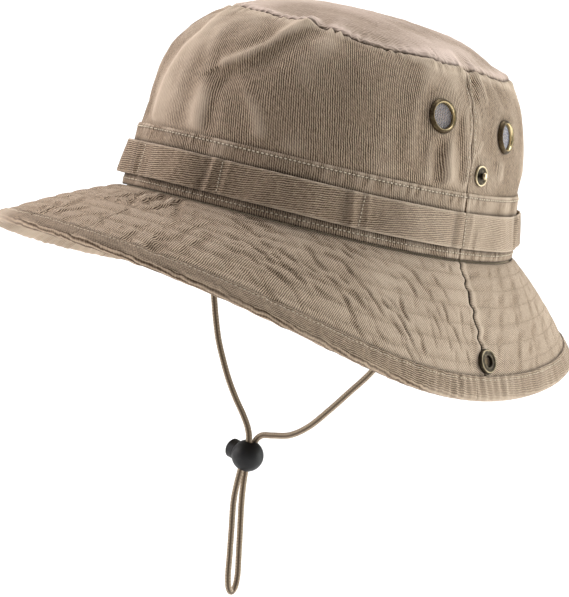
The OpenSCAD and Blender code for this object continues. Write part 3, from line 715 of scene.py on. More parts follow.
def crown_lift(T, t):
    """How far the crown's cloth stands out of its plain shape."""
    p = crown_point(T, t)
    lumps = 0.55 * MM * solid_waves(p, 48 * MM, 18, 3)
    lumps = lumps + 0.28 * MM * solid_waves(p, 17 * MM, 26, 5, (1, 1, 0.45))
    fine = 0.09 * MM * solid_waves(p, 6 * MM, 30, 8, (1, 1, 0.6))
    lift = crown_folds(T, p[..., 2]) + lumps + fine
    held = ramp(t * CROWN_H, BAND_H - 1.5 * MM, BAND_H + 5 * MM) * (1 - near_fitting(p))
    return lift * held


def seam_line(T):
    """A slow wander of the tip seam, in shares of the crown's height."""
    return 0.004 * sin(5 * T + 40) + 0.003 * sin(11 * T)


def wall_rows(T, rows):
    share = 1 - (1 - np.linspace(0, 1, rows)[:, None]) ** 1.7
    return (seam_share(T) + seam_line(T)) * share


def seam_pull(p, away, T):
    """Puckers that run into a seam, and the seam's own groove; away is the distance from it."""
    pucker = waves(arc(T), away, 6.5 * MM, 90, 20, 16, 21)
    return (0.35 * pucker * bell(away, 5 * MM) - 0.55 * bell(away, 1.0 * MM)
            + 0.30 * bell(away - 2.2 * MM, 1.6 * MM)) * MM


def wear_and_painted_light_zone(T):
    """The middle of the front and of the back is paler and smoother, and so is the cloth beside each side seam:
    partly wash wear, partly painted light where the side lamps fall brightest.
    """
    middle = np.abs((T + 18) % 180 - 90)
    return 0.16 * (1 - ramp(middle, 20, 30)) + 0.22 * (1 - ramp(from_side(T), 7, 22))


def wear_of(lift, scale):
    return np.clip(0.42 + 0.33 * lift / scale, 0, 1)


def row_distance(points):
    """Distance from each row of a grid to its last row, along the surface."""
    step = np.linalg.norm(np.diff(points, axis=0), axis=-1)
    return np.concatenate([np.cumsum(step[::-1], axis=0)[::-1], np.zeros((1,) + step.shape[1:])])


def add_crown_panel(name, node, start, columns=300, rows=92):
    edge = 0.12
    T = np.broadcast_to(np.linspace(start + edge, start + 180 - edge, columns)[None], (rows, columns))
    t = wall_rows(T, rows)
    base = crown_point(T, t)
    to_seam = row_distance(base)
    side = np.minimum(T - start, start + 180 - T) * 1.7 * MM
    lift = crown_lift(T, t) + seam_pull(base, to_seam, T)
    level = t * CROWN_H
    above = ramp(level, BAND_H, BAND_H + 4 * MM)
    beside = waves(side, base[..., 2], 6 * MM, 80, 25, 18, 27) * bell(side, 7 * MM)
    lift = lift + (0.3 * beside - 0.25 * bell(side, 0.8 * MM)) * above * MM
    outer, inner = shell(crown_point, T, t, lift, lift - CLOTH)
    uv = np.stack([arc(T), -to_seam], -1)
    wear_and_painted_light = wear_of(lift, 1.1 * MM) + 0.35 * bell(to_seam - 2.5 * MM, 2.5 * MM)
    # Painted shade: darker along the tip seam, the side seams and just above the hat band's top edge.
    painted_crease_shade = 0.6 * bell(to_seam, 0.6 * MM) + 0.22 * bell(side, 0.5 * MM)
    painted_crease_shade = painted_crease_shade + 0.5 * bell(level - BAND_H - 0.1 * MM, 0.5 * MM)
    on_hat(cloth(name, outer, inner, TWILL_CROWN, uv, wear_and_painted_light + wear_and_painted_light_zone(T), painted_crease_shade), node)


def tip_share(T, s):
    """Height share of the tip at share s of the way from its seam to its top."""
    low = np.arcsin((seam_share(T) + seam_line(T) + 0.0006) ** (SHOULDER / 2))
    return np.sin(low + (math.pi / 2 - low) * s) ** (2 / SHOULDER)


def tip_lift(p):
    return (0.9 * solid_waves(p, 60 * MM, 14, 31) + 0.22 * solid_waves(p, 16 * MM, 24, 33)
            + 0.07 * solid_waves(p, 6 * MM, 24, 35)) * MM


def add_crown_tip(rings=60, columns=540):
    T = np.broadcast_to(np.linspace(0, 360, columns, endpoint=False)[None], (rings, columns))
    s = np.broadcast_to(np.linspace(0, 0.995, rings)[:, None], (rings, columns))
    base = crown_point(T, tip_share(T, s))
    step = np.linalg.norm(np.diff(base, axis=0), axis=-1)
    away = np.concatenate([np.zeros((1, columns)), np.cumsum(step, axis=0)])
    edge_t = seam_share(T) + seam_line(T)
    lift = tip_lift(base) * ramp(away, 0, 10 * MM) + seam_pull(base, away, T)
    lift = lift + crown_lift(T, edge_t) * (1 - ramp(away, 0, 14 * MM))
    outer, inner = shell(lambda a, b: crown_point(a, tip_share(a, b)), T, s, lift, lift - CLOTH)
    top = (outer[-1].mean(0), inner[-1].mean(0))
    count = rings * columns
    faces = grid_faces(rings, columns, closed=True) + grid_faces(rings, columns, count, closed=True, flip=True)
    last = (rings - 1) * columns
    after = (np.arange(columns) + 1) % columns
    faces += [[last + j, last + int(after[j]), 2 * count] for j in range(columns)]
    faces += [[count + last + int(after[j]), count + last + j, 2 * count + 1] for j in range(columns)]
    rim_start = len(faces)
    faces += rim_faces(np.arange(columns), count)
    points = np.concatenate([outer.reshape(-1, 3), inner.reshape(-1, 3), np.array(top)])
    wear_and_painted_light = np.clip(wear_of(lift, 1.2 * MM) + 0.22 + 0.2 * bell(away - 2.5 * MM, 2.5 * MM), 0, 1)
    # Painted shade: darker along the tip seam.
    painted_crease_shade = 0.6 * bell(away, 0.6 * MM)
    both = lambda a: np.concatenate([a.ravel(), a.ravel(), a[-1, :2]])
    made = add_object("crown_tip_cloth", points, faces, TWILL_TIP, points[:, :2],
                      {"wear_and_painted_light": both(wear_and_painted_light), "painted_crease_shade": both(painted_crease_shade)}, rim_start)
    on_hat(made, "crown_tip")


# ---- Hat band, foliage loops and sweatband, which go round the wall in halves

BAND_OUT = 0.8 * MM


def edge_round(z, low, high, radius, depth):
    """Lift that falls off at a folded edge, as the edge of a strip is rounded."""
    near = np.minimum(z - low, high - z)
    return -depth * (1 - ramp(near, 0, radius)) ** 2


STRIP_EDGE = 0.1     # degrees that a strip stays short of the side seams


def wall_strip(start, low, high, columns, rows):
    """Grid of a strip round half of the wall, between two shares of the crown's height."""
    T = np.linspace(start + STRIP_EDGE, start + 180 - STRIP_EDGE, columns)
    T = np.broadcast_to(T, (rows, columns))
    t = np.broadcast_to(np.linspace(low, high, rows)[:, None], (rows, columns))
    return T, t, np.stack([arc(T), t * CROWN_H], -1)


def side_wear_and_painted_light(T):
    """The strips round the crown are paler at the sides and at the back: partly wear, partly painted light
    where the side lamps fall.
    """
    return 0.32 * bell(from_side(T), 38) + 0.15 * (T > 0)


def band_lift(T, t):
    z = t * CROWN_H
    pucker = waves(arc(T), z, 5.5 * MM, 90, 15, 20, 41) * (bell(z - BAND_H + 2 * MM, 4 * MM)
                                                         + 0.9 * bell(z - 4 * MM, 3 * MM))
    wide = waves(arc(T), z, 22 * MM, 90, 40, 16, 43)
    side = from_side(T) * 1.8 * MM
    seam = -0.5 * bell(side, 0.7 * MM) + 0.35 * bell(side - 1.8 * MM, 1.2 * MM)
    return BAND_OUT + (0.16 * pucker + 0.12 * wide + seam) * MM


def add_band(name, node, start):
    T, t, uv = wall_strip(start, BAND_FOOT, BAND_H / CROWN_H, columns=320, rows=44)
    z = t * CROWN_H
    lift = band_lift(T, t) + edge_round(z, BAND_FOOT * CROWN_H, BAND_H, 1.1 * MM, 0.35 * MM)
    outer, inner = shell(crown_point, T, t, lift, GAP)
    wear_and_painted_light = wear_of(lift - BAND_OUT, 0.3 * MM) + 0.5 * bell(z - BAND_H, 1.0 * MM) + 0.7 * side_wear_and_painted_light(T)
    # Painted shade: darker just under and over the ribbon's edges, along both rows of stitching and at the
    # band's foot.
    low = RIBBON_Z - 0.2 * MM
    high = RIBBON_Z + RIBBON_H + 0.3 * MM
    painted_crease_shade = 0.75 * bell(z - low, 0.9 * MM) + 0.55 * bell(z - high, 0.8 * MM)
    painted_crease_shade = painted_crease_shade + 0.7 * bell(z - BAND_H + 1.8 * MM, 0.45 * MM) + 0.6 * bell(z - 3.9 * MM, 0.45 * MM)
    painted_crease_shade = painted_crease_shade + 0.8 * bell(z - BAND_FOOT * CROWN_H, 0.6 * MM)
    on_hat(cloth(name, outer, inner, TWILL_BAND, uv, wear_and_painted_light, painted_crease_shade), node)


TACKS = (-180, -146, -110, -75, -34, 0.5, 36, 72, 108, 144, 180)
RIBBON_IN, RIBBON_T = BAND_OUT + 0.15 * MM, 0.7 * MM
LOOP_BOW = 2.5 * MM
TACK_DIP = 7.8 * MM          # from a tack to the dip beyond its fold


def ribbon_lift(T, t):
    """The ribbon is tacked down between its loops, and each loop buckles a little beside its tack."""
    z = t * CROWN_H
    share = (z - RIBBON_Z) / RIBBON_H
    out = 0.0
    for a, b in zip(TACKS[:-1], TACKS[1:]):
        inside = np.clip((T - a) / (b - a), 0, 1)
        out = out + np.sin(math.pi * inside) ** 2
    out = LOOP_BOW * out * (1.35 - 0.6 * share)
    wobble = waves(arc(T), z, 15 * MM, 90, 35, 16, 47)
    grain = waves(arc(T), z, 7 * MM, 80, 25, 20, 49)
    for k, tack in enumerate(TACKS):
        x = arc(T) - arc(tack)
        lean = (share - 0.5) * 1.5 * MM * (1 if k % 2 else -1)
        strong = 1.0 if k % 3 == 0 else 0.45
        fold = 1.3 * bell(x + 4.0 * MM - lean, 1.8 * MM) - 0.9 * bell(x + TACK_DIP - lean, 1.7 * MM)
        out = out + strong * fold * MM
        out = out + 0.5 * MM * bell(x - 3.2 * MM - lean, 1.6 * MM) - 0.35 * MM * bell(x, 0.8 * MM)
    loose = (0.25 * wobble + 0.08 * grain) * MM * (out > 0.4 * MM)
    return RIBBON_IN + RIBBON_T + np.maximum(out, -0.1 * MM) + loose


def add_ribbon(name, node, start):
    low, high = RIBBON_Z / CROWN_H, (RIBBON_Z + RIBBON_H) / CROWN_H
    T, t, uv = wall_strip(start, low, high, columns=420, rows=26)
    z = t * CROWN_H
    lift = ribbon_lift(T, t)
    rounded = edge_round(z, RIBBON_Z, RIBBON_Z + RIBBON_H, 0.9 * MM, 0.3 * MM)
    outer, inner = shell(crown_point, T, t, lift + rounded, lift - RIBBON_T - rounded * 0.5)
    edge = np.minimum(z - RIBBON_Z, RIBBON_Z + RIBBON_H - z)
    wear_and_painted_light = 0.35 + 0.45 * bell(edge, 0.9 * MM) + side_wear_and_painted_light(T)
    # Painted shade: darker along each tack and in the dip beyond each loop's fold.
    painted_crease_shade = 0.0
    for tack in TACKS:
        painted_crease_shade = painted_crease_shade + 0.35 * bell(arc(T) - arc(tack), 0.6 * MM)
        painted_crease_shade = painted_crease_shade + 0.3 * bell(arc(T) - arc(tack) + TACK_DIP, 2.0 * MM)
    on_hat(cloth(name, outer, inner, TWILL_RIBBON, uv, wear_and_painted_light, painted_crease_shade), node)


def add_sweatband(name, node, start):
    T, t, uv = wall_strip(start, SWEATBAND_FOOT, SWEATBAND_H / CROWN_H, columns=200, rows=30)
    z = t * CROWN_H
    wave = waves(arc(T), z, 18 * MM, 90, 30, 16, 51)
    lift = -(CLOTH + SWEATBAND_T) + 0.2 * MM * wave * ramp(z, 2 * MM, 12 * MM)
    outer, inner = shell(crown_point, T, t, lift, lift - SWEATBAND_T)
    wear_and_painted_light = 0.3 + 0.4 * bell(z - SWEATBAND_H, 1.2 * MM)
    on_hat(cloth(name, outer, inner, LINING, uv, wear_and_painted_light), node)


# ---- Brim: each quarter runs from a side seam to the middle of its panel

ROW_PITCH = 8.33 * MM
FLAT_R = 125 * MM            # radius of the brim's flat pattern at the crown
BIND_D = 1 - BINDING_W / BRIM_W
BUCKLE = 0.82 * MM           # height of the puckers
BACK_CALM = 0.35             # how much of the puckering the back panel has
UNDER_SHARE = 0.9            # how much of it reaches the under ply, and the binding
BINDING_SHARE = 0.7


def on_flap(piece, side, slot, *nodes):
    """The piece's transform is baked into its mesh, and the nodes that it stands for are hidden."""
    if nodes:
        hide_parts(*nodes)
    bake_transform(piece)


def flat_brim(T, d):
    """The brim's flat pattern: each of its two panels is an arc, cut about its own middle."""
    front = T < 0
    middle = np.where(front, arc(-90), arc(90))
    angle = (arc(T) - middle) / FLAT_R
    radius = FLAT_R + BRIM_W * d
    return radius * np.sin(angle), radius * np.cos(angle) - FLAT_R, np.degrees(angle)


def sewn_row(d):
    """Share of the way from one row of stitching to the next, and the distance from the nearer row."""
    row = (BRIM_W * d / ROW_PITCH) % 1.0
    return row, np.minimum(row, 1 - row) * ROW_PITCH


def brim_buckle(T, d):
    """Puckers through both plies."""
    u, v, angle = flat_brim(T, d)
    x, y = np.abs(u), v
    width = BRIM_W * d
    # They run across the grain where the cloth was cut on the bias, and in and out elsewhere
    bend = 1.6 * MM * waves(x, y, 26 * MM, seed=60)
    long = (0.8 * waves(x + bend, y + bend, 8.2 * MM, -8, 24, 40, 61)
            + 0.65 * waves(x, y + bend, 5.2 * MM, -3, 34, 34, 63))
    round_x = arc(T) * (1 + 0.25 * d)
    short = (0.9 * waves(round_x + bend, width, 8.5 * MM, 72, 32, 34, 65)
             + 0.55 * waves(round_x, width + bend, 5.5 * MM, 90, 55, 30, 67))
    back = (0.36 * waves(round_x + bend, width, 13 * MM, 66, 30, 24, 69)
            + 0.22 * waves(round_x, width, 6.5 * MM, 60, 60, 30, 71))
    side_on = ramp(np.abs(angle), 9, 22)
    near_seam = ramp(np.abs(angle), 42, 60)
    front = side_on * (1 - 0.45 * near_seam) * long + (1 - side_on) * short
    front = front * (0.72 + 0.5 * waves(x, y, 34 * MM, seed=62))
    crumple = np.where(T < 0, front, back)
    # Rounded ridges with narrower hollows between
    crumple = 0.55 * crumple + 0.5 * (0.8 - 2.0 * np.abs(np.tanh(crumple))) * np.where(T < 0, 1.0, BACK_CALM)
    pinned = 1 - 0.45 * bell(sewn_row(d)[1], 1.3 * MM)
    fade = ramp(d, 0.0, 0.09) * (1 - 0.62 * ramp(d, BIND_D - 0.04, BIND_D + 0.02))
    return BUCKLE * crumple * pinned * fade


def brim_puff(T, d):
    """Fullness between the rows of stitching, and the groove along each row."""
    row, from_row = sewn_row(d)
    puff = 0.24 * np.abs(np.sin(math.pi * row)) - 0.18 * bell(from_row, 0.7 * MM)
    return puff * MM * (1 - ramp(d, BIND_D - 0.02, BIND_D + 0.02)) * np.where(T < 0, 1.0, BACK_CALM)


def seam_wave(d):
    """The side seam wanders between the rows of stitching."""
    width = BRIM_W * d
    return (0.75 * np.sin(2 * math.pi * width / ROW_PITCH + 0.4)
            + 0.3 * np.sin(2 * math.pi * width / (0.61 * ROW_PITCH))) * MM


SEAM_SLANT = 5.0     # how far the side seams run back towards the edge, in degrees


def seam_T(seam, d):
    return seam + SEAM_SLANT * d * (1 if abs(seam) < 90 else -np.sign(seam))


def seam_radius(seam, d):
    return CROWN_L + BRIM_W * cos(droop(seam)) * d


def quarter_T(c, d, seam, middle):
    """Angle at share c of the way from a side seam to the middle of a panel."""
    way = 1 if middle > seam else -1
    start = seam_T(seam, d) + np.degrees((seam_wave(d) + way * 0.3 * MM) / seam_radius(seam, d))
    return start + (middle - start) * c**1.35


def from_seam(T, d, seam):
    return np.abs(np.radians(T - seam_T(seam, d)) * seam_radius(seam, d) - seam_wave(d))


def seam_turn(T, d, seam):
    """Lift beside a side seam, where each panel's edge turns under."""
    away = from_seam(T, d, seam)
    return -0.7 * MM * bell(away, 0.8 * MM) + 0.25 * MM * bell(away - 2.4 * MM, 1.6 * MM)


def brim_top_lift(T, d, seam):
    return CLOTH + GAP + brim_buckle(T, d) + brim_puff(T, d) + seam_turn(T, d, seam)


def brim_under_lift(T, d):
    return -(CLOTH + GAP) + UNDER_SHARE * brim_buckle(T, d) - brim_puff(T, d)


QUARTERS = [("front_left", 0, -90, LEFT), ("back_left", 0, 90, LEFT),
            ("front_right", -180, -90, RIGHT), ("back_right", 180, 90, RIGHT)]


def add_brim_quarter(name, seam, middle, side):
    end, flap = name.split("_")
    flip = middle > seam
    c, d = np.meshgrid(np.linspace(0, 1, 250), np.linspace(0, 1 - 1.2 * MM / BRIM_W, 70))
    T = quarter_T(c, d, seam, middle)
    uv = np.stack(flat_brim(T, d)[:2], -1)
    buckle = brim_buckle(T, d)
    outer, inner = shell(brim_point, T, d, brim_top_lift(T, d, seam), GAP + UNDER_SHARE * buckle, -1)
    away = from_seam(T, d, seam)
    # Paler cloth on the back quarters and near the left side seam: partly wear, partly painted light where the
    # side lamps fall.
    smooth = 0.26 if end == "back" else 0.04 + 0.24 * bell(T + 8, 34)
    wear_and_painted_light = wear_of(buckle + 0.4 * brim_puff(T, d), 0.62 * MM) + smooth + 0.3 * bell(away - 2.4 * MM, 1.6 * MM)
    # Painted shade: darker along the side seam, where the brim meets the crown, and at the binding's inner
    # edge.
    painted_crease_shade = 2.4 * bell(away, 0.42 * MM) + 0.6 * bell(BRIM_W * d, 0.6 * MM)
    painted_crease_shade = painted_crease_shade + 0.35 * bell(BRIM_W * (d - BIND_D) + 0.3 * MM, 0.6 * MM)
    top = cloth("brim_top_" + name, outer, inner, TWILL_BRIM, uv, wear_and_painted_light, painted_crease_shade, flip)
    on_flap(top, side, "twill", "brim_top_" + end, "flap_top_" + flap)
    outer, inner = shell(brim_point, T, d, brim_under_lift(T, d), -GAP + UNDER_SHARE * buckle, -1)
    wear_and_painted_light = wear_of(-buckle, 0.7 * MM)
    under = cloth("brim_under_" + name, outer, inner, TWILL_UNDER, uv, wear_and_painted_light, flip=not flip)
    on_flap(under, side, "twill_underside", "brim_under_" + end, "flap_under_" + flap)


BIND_OUT = CLOTH + GAP + 0.85 * MM
BINDING_T = 0.6 * MM
BINDING_ROWS = (0.09, 0.91)     # shares of the strip's width at which it is sewn
RIM_GROWTH = 1.5     # length of the brim's edge over the crown's foot, for its texture


def binding_section(w):
    """Share of the brim's width and height of the strip at share w of its own width, from its top edge."""
    half = BINDING_W / BRIM_W
    turn = np.clip((w - 0.44) / 0.12, 0, 1) * math.pi
    flat_top = np.clip(w / 0.44, 0, 1)
    flat_under = np.clip((w - 0.56) / 0.44, 0, 1)
    d = 1 - half + (half - 1.0 * MM / BRIM_W) * (flat_top - flat_under) + 1.4 * MM / BRIM_W * np.sin(turn)
    return d, np.cos(turn)


def binding_lift(T, d, w, height):
    """Soft dents across the strip, deeper by the side seams, and fine pleats along its very edge."""
    along = arc(T) * RIM_GROWTH
    dents = waves(along, w * 20 * MM, 8 * MM, 90, 18, 26, 81) * (0.12 + 0.26 * bell(from_side(T), 38))
    soft = 0.16 * waves(along, w * 20 * MM, 17 * MM, 70, 50, 20, 83)
    from_edge = (1 - d) * BRIM_W
    front = bell((T + 70) / 60, 1.0)
    pleats = 0.16 * np.sin(2 * math.pi * from_edge / (0.95 * MM)) * bell(from_edge, 3.4 * MM) * front
    tuck = -0.35 * bell(w, 0.03) - 0.35 * bell(w - 1, 0.03)
    row = -0.25 * sum(bell(w - place, 0.03) for place in BINDING_ROWS)
    return height * (BIND_OUT + (dents + soft + pleats + tuck + row) * MM) + BINDING_SHARE * brim_buckle(T, d)


def add_binding(name, seam, middle, side):
    end, flap = name.split("_")
    rows, columns = 61, 260
    w = np.broadcast_to(np.linspace(0, 1, rows)[:, None], (rows, columns))
    d, height = binding_section(w)
    T = np.broadcast_to(np.linspace(seam, middle, columns), (rows, columns))
    outer, _ = lifted(brim_point, T, d, binding_lift(T, d, w, height), -1)
    inner_d = np.minimum(d, 1 - 0.7 * MM / BRIM_W)
    lift = (BIND_OUT - BINDING_T) * height + BINDING_SHARE * brim_buckle(T, d)
    inner, _ = lifted(brim_point, T, inner_d, lift, -1)
    uv = np.stack([arc(T) * RIM_GROWTH, w * 21 * MM], -1)
    from_edge = (1 - d) * BRIM_W
    # The binding is paler towards the right side, round the left side seam and along the back: partly edge
    # wear, partly painted light where the side lamps fall.
    wear_and_painted_light = 0.22 + 0.2 * bell(from_edge, 1.5 * MM) + 0.55 * ramp(-T, 95, 130) * (T > -180)
    wear_and_painted_light = wear_and_painted_light + 0.3 * bell(T, 40) + 0.1 * waves(arc(T), w * 0, 30 * MM, seed=87) + 0.25 * ramp(T, -25, 25)
    # Painted shade: darker along both folded edges of the strip.
    painted_crease_shade = 0.55 * bell(w, 0.02) + 0.55 * bell(w - 1, 0.02)
    made = cloth("brim_binding_" + name, outer, inner, TWILL_BINDING, uv, wear_and_painted_light, painted_crease_shade, middle > seam)
    on_flap(made, side, "twill", "brim_binding_" + end, "flap_binding_" + flap)


# ---- Sewing


FINE = 0.22 * MM     # radius of the thinner thread


def add_root_stitches(name, runs, **how):
    made = stitches(name, runs, **how)
    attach(made, "root")


def add_crown_sewing():
    T = np.linspace(-180, 180, 900)
    rows = [lifted(crown_point, T, t, band_lift(T, t) + 0.03 * MM)
            for t in ((BAND_H - 1.8 * MM) / CROWN_H, 3.9 * MM / CROWN_H)]
    add_root_stitches("stitches_hat_band", rows)
    inside = lifted(crown_point, T, (SWEATBAND_H - 1.5 * MM) / CROWN_H, -(CLOTH + 2 * SWEATBAND_T + 0.05 * MM))
    edges = [lifted(crown_point, T, z / CROWN_H, ribbon_lift(T, z / CROWN_H) - 0.12 * MM)
             for z in (RIBBON_Z + 0.9 * MM, RIBBON_Z + RIBBON_H - 0.9 * MM)]
    tacks = []
    for k, tack in enumerate(TACKS[1:]):
        z = np.linspace(RIBBON_Z + 0.8 * MM, RIBBON_Z + RIBBON_H - 0.8 * MM, 30)
        T = tack + (0.5 if k % 2 else -0.3) * (z - RIBBON_Z) / RIBBON_H
        tacks.append(lifted(crown_point, T, z / CROWN_H, ribbon_lift(T, z / CROWN_H)))
    add_root_stitches("stitches_loop_tacks", tacks, length=1.3 * MM, gap=0.4 * MM)
    add_root_stitches("stitches_ribbon_edges", edges, length=1.2 * MM, gap=0.5 * MM, radius=FINE,
                      material=THREAD_WORN)
    T = np.linspace(-180, 180, 1200)
    t = seam_share(T) + seam_line(T) - 0.006
    seam = lifted(crown_point, T, t, crown_lift(T, t) - 0.35 * MM)
    add_root_stitches("stitches_tip_seam", [seam], radius=0.2 * MM)
    sides = []
    for T0 in (-1.1, 1.1, 178.9, 181.1):
        z = np.linspace(BAND_H + 1 * MM, 82 * MM, 60)
        t = height_share(T0, z)
        t = t[t < seam_share(T0) - 0.02]
        T = T0 + 0 * t
        sides.append(lifted(crown_point, T, t, crown_lift(T, t) + 0.02 * MM))
    add_root_stitches("stitches_side_seams", sides, radius=0.2 * MM)
    add_root_stitches("stitches_sweatband", [inside])


def add_brim_sewing():
    for side, word in ((LEFT, "left"), (RIGHT, "right")):
        rows, back_rows, edge_rows = [], [], []
        for _, seam, middle, _ in (quarter for quarter in QUARTERS if quarter[3] == side):
            c = np.linspace(0.012, 1.0, 500)
            for d in np.arange(1, 7) * ROW_PITCH / BRIM_W:
                T = quarter_T(c, d, seam, middle)
                (rows if middle < 0 else back_rows).append(
                    lifted(brim_point, T, d, brim_top_lift(T, d, seam), -1))
                rows.append(lifted(brim_point, T, d, brim_under_lift(T, d), -1))
            T = np.linspace(seam, middle, 500)
            for w in BINDING_ROWS:
                d, height = binding_section(w)
                edge_rows.append(lifted(brim_point, T, d, binding_lift(T, d, w, height), -1))
        for label, runs, material in (("rows", rows, THREAD_WORN), ("back_rows", back_rows, THREAD_WORN),
                                      ("edge", edge_rows, THREAD)):
            made = stitches("stitches_brim_" + label + "_" + word, runs, radius=FINE, material=material)
            on_flap(made, side, "twill")


# ---- Vents and snaps

EYELET = [(5.75, -3.0), (5.75, 0.2), (5.85, 1.0), (6.05, 1.55), (6.35, 1.9), (6.7, 2.0), (7.15, 1.8),
          (7.6, 1.3), (7.9, 0.7), (8.0, 0.2), (7.9, 0.02), (7.6, -0.05), (6.35, -0.05), (6.35, -3.0)]
EYELET_PATINA = [0.9, 0.6, 0.0, 0.0, 0.55, 1.0, 1.0, 1.0, 1.0, 1.0, 1.0, 1.0, 1.0, 1.0]
WASHER = [(6.4, -2.6), (6.4, -2.0), (7.3, -1.95), (7.5, -2.1), (7.5, -2.5), (7.3, -2.6)]
VENT_DISC = [(0.001, -0.9), (5.6, -0.9), (5.6, -0.75), (0.001, -0.75)]
STUD = [(0.001, 0.1), (4.6, 0.1), (4.85, 0.5), (4.8, 0.95), (4.6, 1.2), (4.3, 1.25), (4.0, 1.05), (3.5, 0.7),
        (2.6, 0.5), (1.7, 0.55), (1.35, 0.9), (1.35, 1.9), (1.6, 2.3), (1.75, 2.75), (1.6, 3.2), (1.2, 3.5),
        (0.6, 3.65), (0.001, 3.7)]
STUD_PATINA = [1, 1, 0.5, 0.15, 0.0, 0.1, 0.7, 1, 1, 1, 1, 0.9, 0.5, 0.2, 0.0, 0.0, 0.0, 0.0]
SNAP_SEAT = 1.25
SOCKET = [(2.9, 0.0), (2.9, 0.3), (2.65, 0.9), (2.6, 1.3), (2.75, 1.6), (3.1, 1.7), (3.6, 1.45), (4.2, 1.4),
          (4.7, 1.75), (5.0, 1.9), (5.3, 1.85), (5.6, 1.5), (5.8, 0.9), (5.9, 0.3), (5.9, 0.0)]
SOCKET_PATINA = [1, 1, 1, 1, 1, 0.85, 1, 1, 0.95, 0.6, 0.5, 1, 1, 1, 1]


def woven_mesh(name, place):
    """Two sets of fine wires that pass over and under each other in a round vent."""
    radius, pitch, swing = 5.7 * MM, 0.98 * MM, 0.18 * MM
    paths = []
    offsets = np.arange(-5, 6) * pitch
    for axis in (0, 1):
        for k, off in enumerate(offsets):
            reach = math.sqrt(radius**2 - off**2)
            run = np.arange(-reach, reach, pitch / 4)
            wave = swing * np.cos(math.pi * run / pitch) * (1 if (k + axis) % 2 else -1)
            points = np.zeros((len(run), 3))
            points[:, axis] = run
            points[:, 1 - axis] = off
            points[:, 2] = wave - 0.1 * MM
            paths.append(points)
    made = tubes(name, paths, 0.165 * MM, WIRE, sides=5, patina=0.1)
    made.data.transform(place @ Matrix.Rotation(math.radians(38), 4, "Z"))
    return made


def add_vent(side, word, end):
    place = wall_frame(side, *VENTS[end])
    label = word + "_" + end
    rim = lathe("vent_rim_" + label, EYELET, place, BRASS, 96, EYELET_PATINA, 60)
    mesh = woven_mesh("vent_weave_" + label, place)
    # A near-black disc behind the mesh: painted shade where the hat's inside shows through the vent.
    back = lathe("vent_backing_" + label, VENT_DISC, place, VENT_PAINTED_SHADE, 48)
    washer = lathe("vent_ring_" + label, WASHER, place, BRASS, 72, [0.4] * len(WASHER))
    on_hat(rim, "vent_eyelet_" + label)
    on_hat(mesh, "vent_mesh_" + label)
    on_hat(washer, "vent_washer_" + label)
    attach(back, "root")


def socket_frame(side):
    """Place of a snap's socket on the brim's middle surface, with +Z out of its top."""
    d = SOCKET_ALONG / BRIM_W
    near = 4 if side == LEFT else 176
    reach = brim_width(near) * cos(droop(near)) * d * 0.8
    T = math.degrees(math.asin(SNAP_Y / (CROWN_L + reach)))
    T = T if side == LEFT else 180 - T
    place = brim_point(np.float64(T), np.float64(d))
    slope = math.atan(math.tan(math.radians(droop(T))) * (1 - CURL + 2 * CURL * d))
    out = Vector((side * math.sin(slope), 0, math.cos(slope)))
    return facing(place, out, Vector((0, 1, 0)))


def add_snap(side, word):
    stud = lathe("stud_" + word, STUD, wall_frame(side, SNAP_Y, STUD_Z), DARK_BRASS, 72, STUD_PATINA, 60)
    on_hat(stud, "snap_stud_" + word)
    seated = socket_frame(side) @ Matrix.Translation((0, 0, (SNAP_SEAT + 0.3) * MM))
    socket = lathe("socket_" + word, SOCKET, seated, DARK_BRASS, 72, SOCKET_PATINA, 60)
    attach(socket, word + "_flap")
    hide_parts("snap_socket_" + word)


def finish_cad_nodes():
    """Better materials for the CAD parts that stay."""
    # The snap caps take the near-black brass: painted shade inside the socket holes.
    looks = {"snap_post_": STEEL, "snap_cap_": AGED_AND_SHADE_BRASS, "cord_lock_spring": STEEL, "cord_lock_": BLACK}
    for name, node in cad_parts.items():
        for start, material in looks.items():
            if name.startswith(start):
                node.data.materials.clear()
                node.data.materials.append(material)
                break


# ---- Stage


def soft_light(name, place, target, size, power, colour):
    data = bpy.data.lights.new(name, "AREA")
    data.shape = "RECTANGLE"
    data.size, data.size_y = size
    data.energy = power
    data.color = colour
    light = bpy.data.objects.new(name, data)
    light.location = place
    light.rotation_mode = "QUATERNION"
    light.rotation_quaternion = (Vector(place) - Vector(target)).to_track_quat("Z", "Y")
    bpy.context.scene.collection.objects.link(light)


FLOOR_Z = -0.30


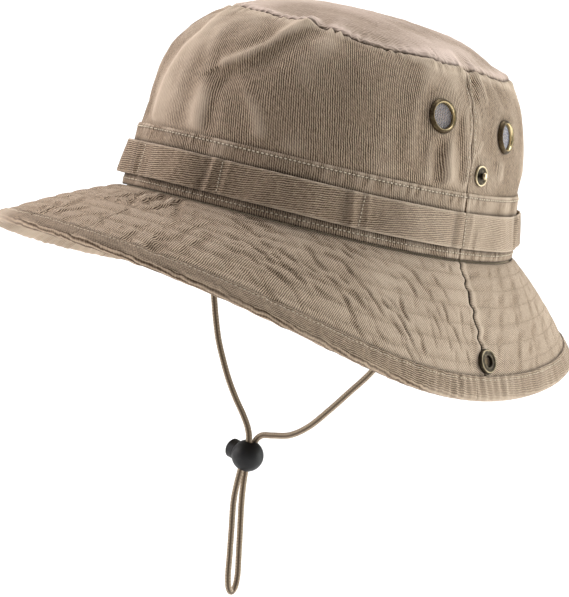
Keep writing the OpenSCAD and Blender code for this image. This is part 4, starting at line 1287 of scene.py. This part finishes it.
def add_stage():
    """A pale floor that curves up into a backdrop, and soft boxes at both sides and above."""
    n = Nodes("pale_paper")
    paper = n.noise(n.add("ShaderNodeTexCoord", output=3), 30.0, 3.0)
    colour = n.mix(paper, rgb(0.92, 0.92, 0.92), rgb(0.95, 0.95, 0.95))
    material = n.finish(colour, Roughness=0.9, Specular_IOR_Level=0.1, Emission_Color=rgb(1, 1, 1),
                        Emission_Strength=0.35)
    across = Vector((ACROSS.x, ACROSS.y, 0)).normalized()
    away = Vector((-TO_CAMERA.x, -TO_CAMERA.y, 0)).normalized()
    bend = [(0.9 * math.sin(a), 0.9 * (1 - math.cos(a))) for a in np.linspace(0, math.pi / 2, 24)]
    profile = [(-3.0, 0.0)] + [(1.0 + x, z) for x, z in bend] + [(1.9, 3.4)]
    points = []
    for x, z in profile:
        for w in (-4.0, 4.0):
            points.append(away * x + across * w + Vector((0, 0, FLOOR_Z + z)))
    faces = [[2 * i, 2 * i + 1, 2 * i + 3, 2 * i + 2] for i in range(len(profile) - 1)]
    floor = add_object("floor", [tuple(p) for p in points], faces, material)
    middle = Vector((0, 0, 0.03))
    white = (1.0, 1.0, 1.0)
    for name, right, back, up, size, power, tint in (
            ("left_box", -1.15, 0.12, 0.42, (0.9, 1.3), 16.5, (1.0, 0.955, 0.95)),
            ("right_box", 1.15, 0.10, 0.30, (0.9, 1.3), 16, (0.975, 1.0, 0.965)),
            ("top_box", 0, 0.25, 1.3, (1.2, 1.0), 17, white),
            ("front_fill", 0, -1.8, 0.5, (1.4, 1.0), 1.6, white)):
        place = middle + right * across + back * away + Vector((0, 0, up))
        soft_light(name, place, middle, size, power, tint)
    world = bpy.data.worlds.new("studio")
    world.use_nodes = True
    world.node_tree.nodes["Background"].inputs["Color"].default_value = rgb(1, 1, 1)
    world.node_tree.nodes["Background"].inputs["Strength"].default_value = 0.14
    bpy.context.scene.world = world
    bpy.context.scene.view_settings.view_transform = "Standard"


# ---- The hat, put together

add_crown_panel("crown_front_cloth", "crown_front_panel", -180)
add_crown_panel("crown_back_cloth", "crown_back_panel", 0)
add_crown_tip()
for build, strip in ((add_band, "hat_band_"), (add_ribbon, "loop_ribbon_"), (add_sweatband, "sweatband_")):
    for half, first in (("front", -180), ("back", 0)):
        build(strip + half + "_cloth", strip + half, first)
for quarter in QUARTERS:
    add_brim_quarter(*quarter)
    add_binding(*quarter)
add_crown_sewing()
add_brim_sewing()
for side, word in ((LEFT, "left"), (RIGHT, "right")):
    add_vent(side, word, "front")
    add_vent(side, word, "back")
    add_snap(side, word)
finish_cad_nodes()
add_stage()
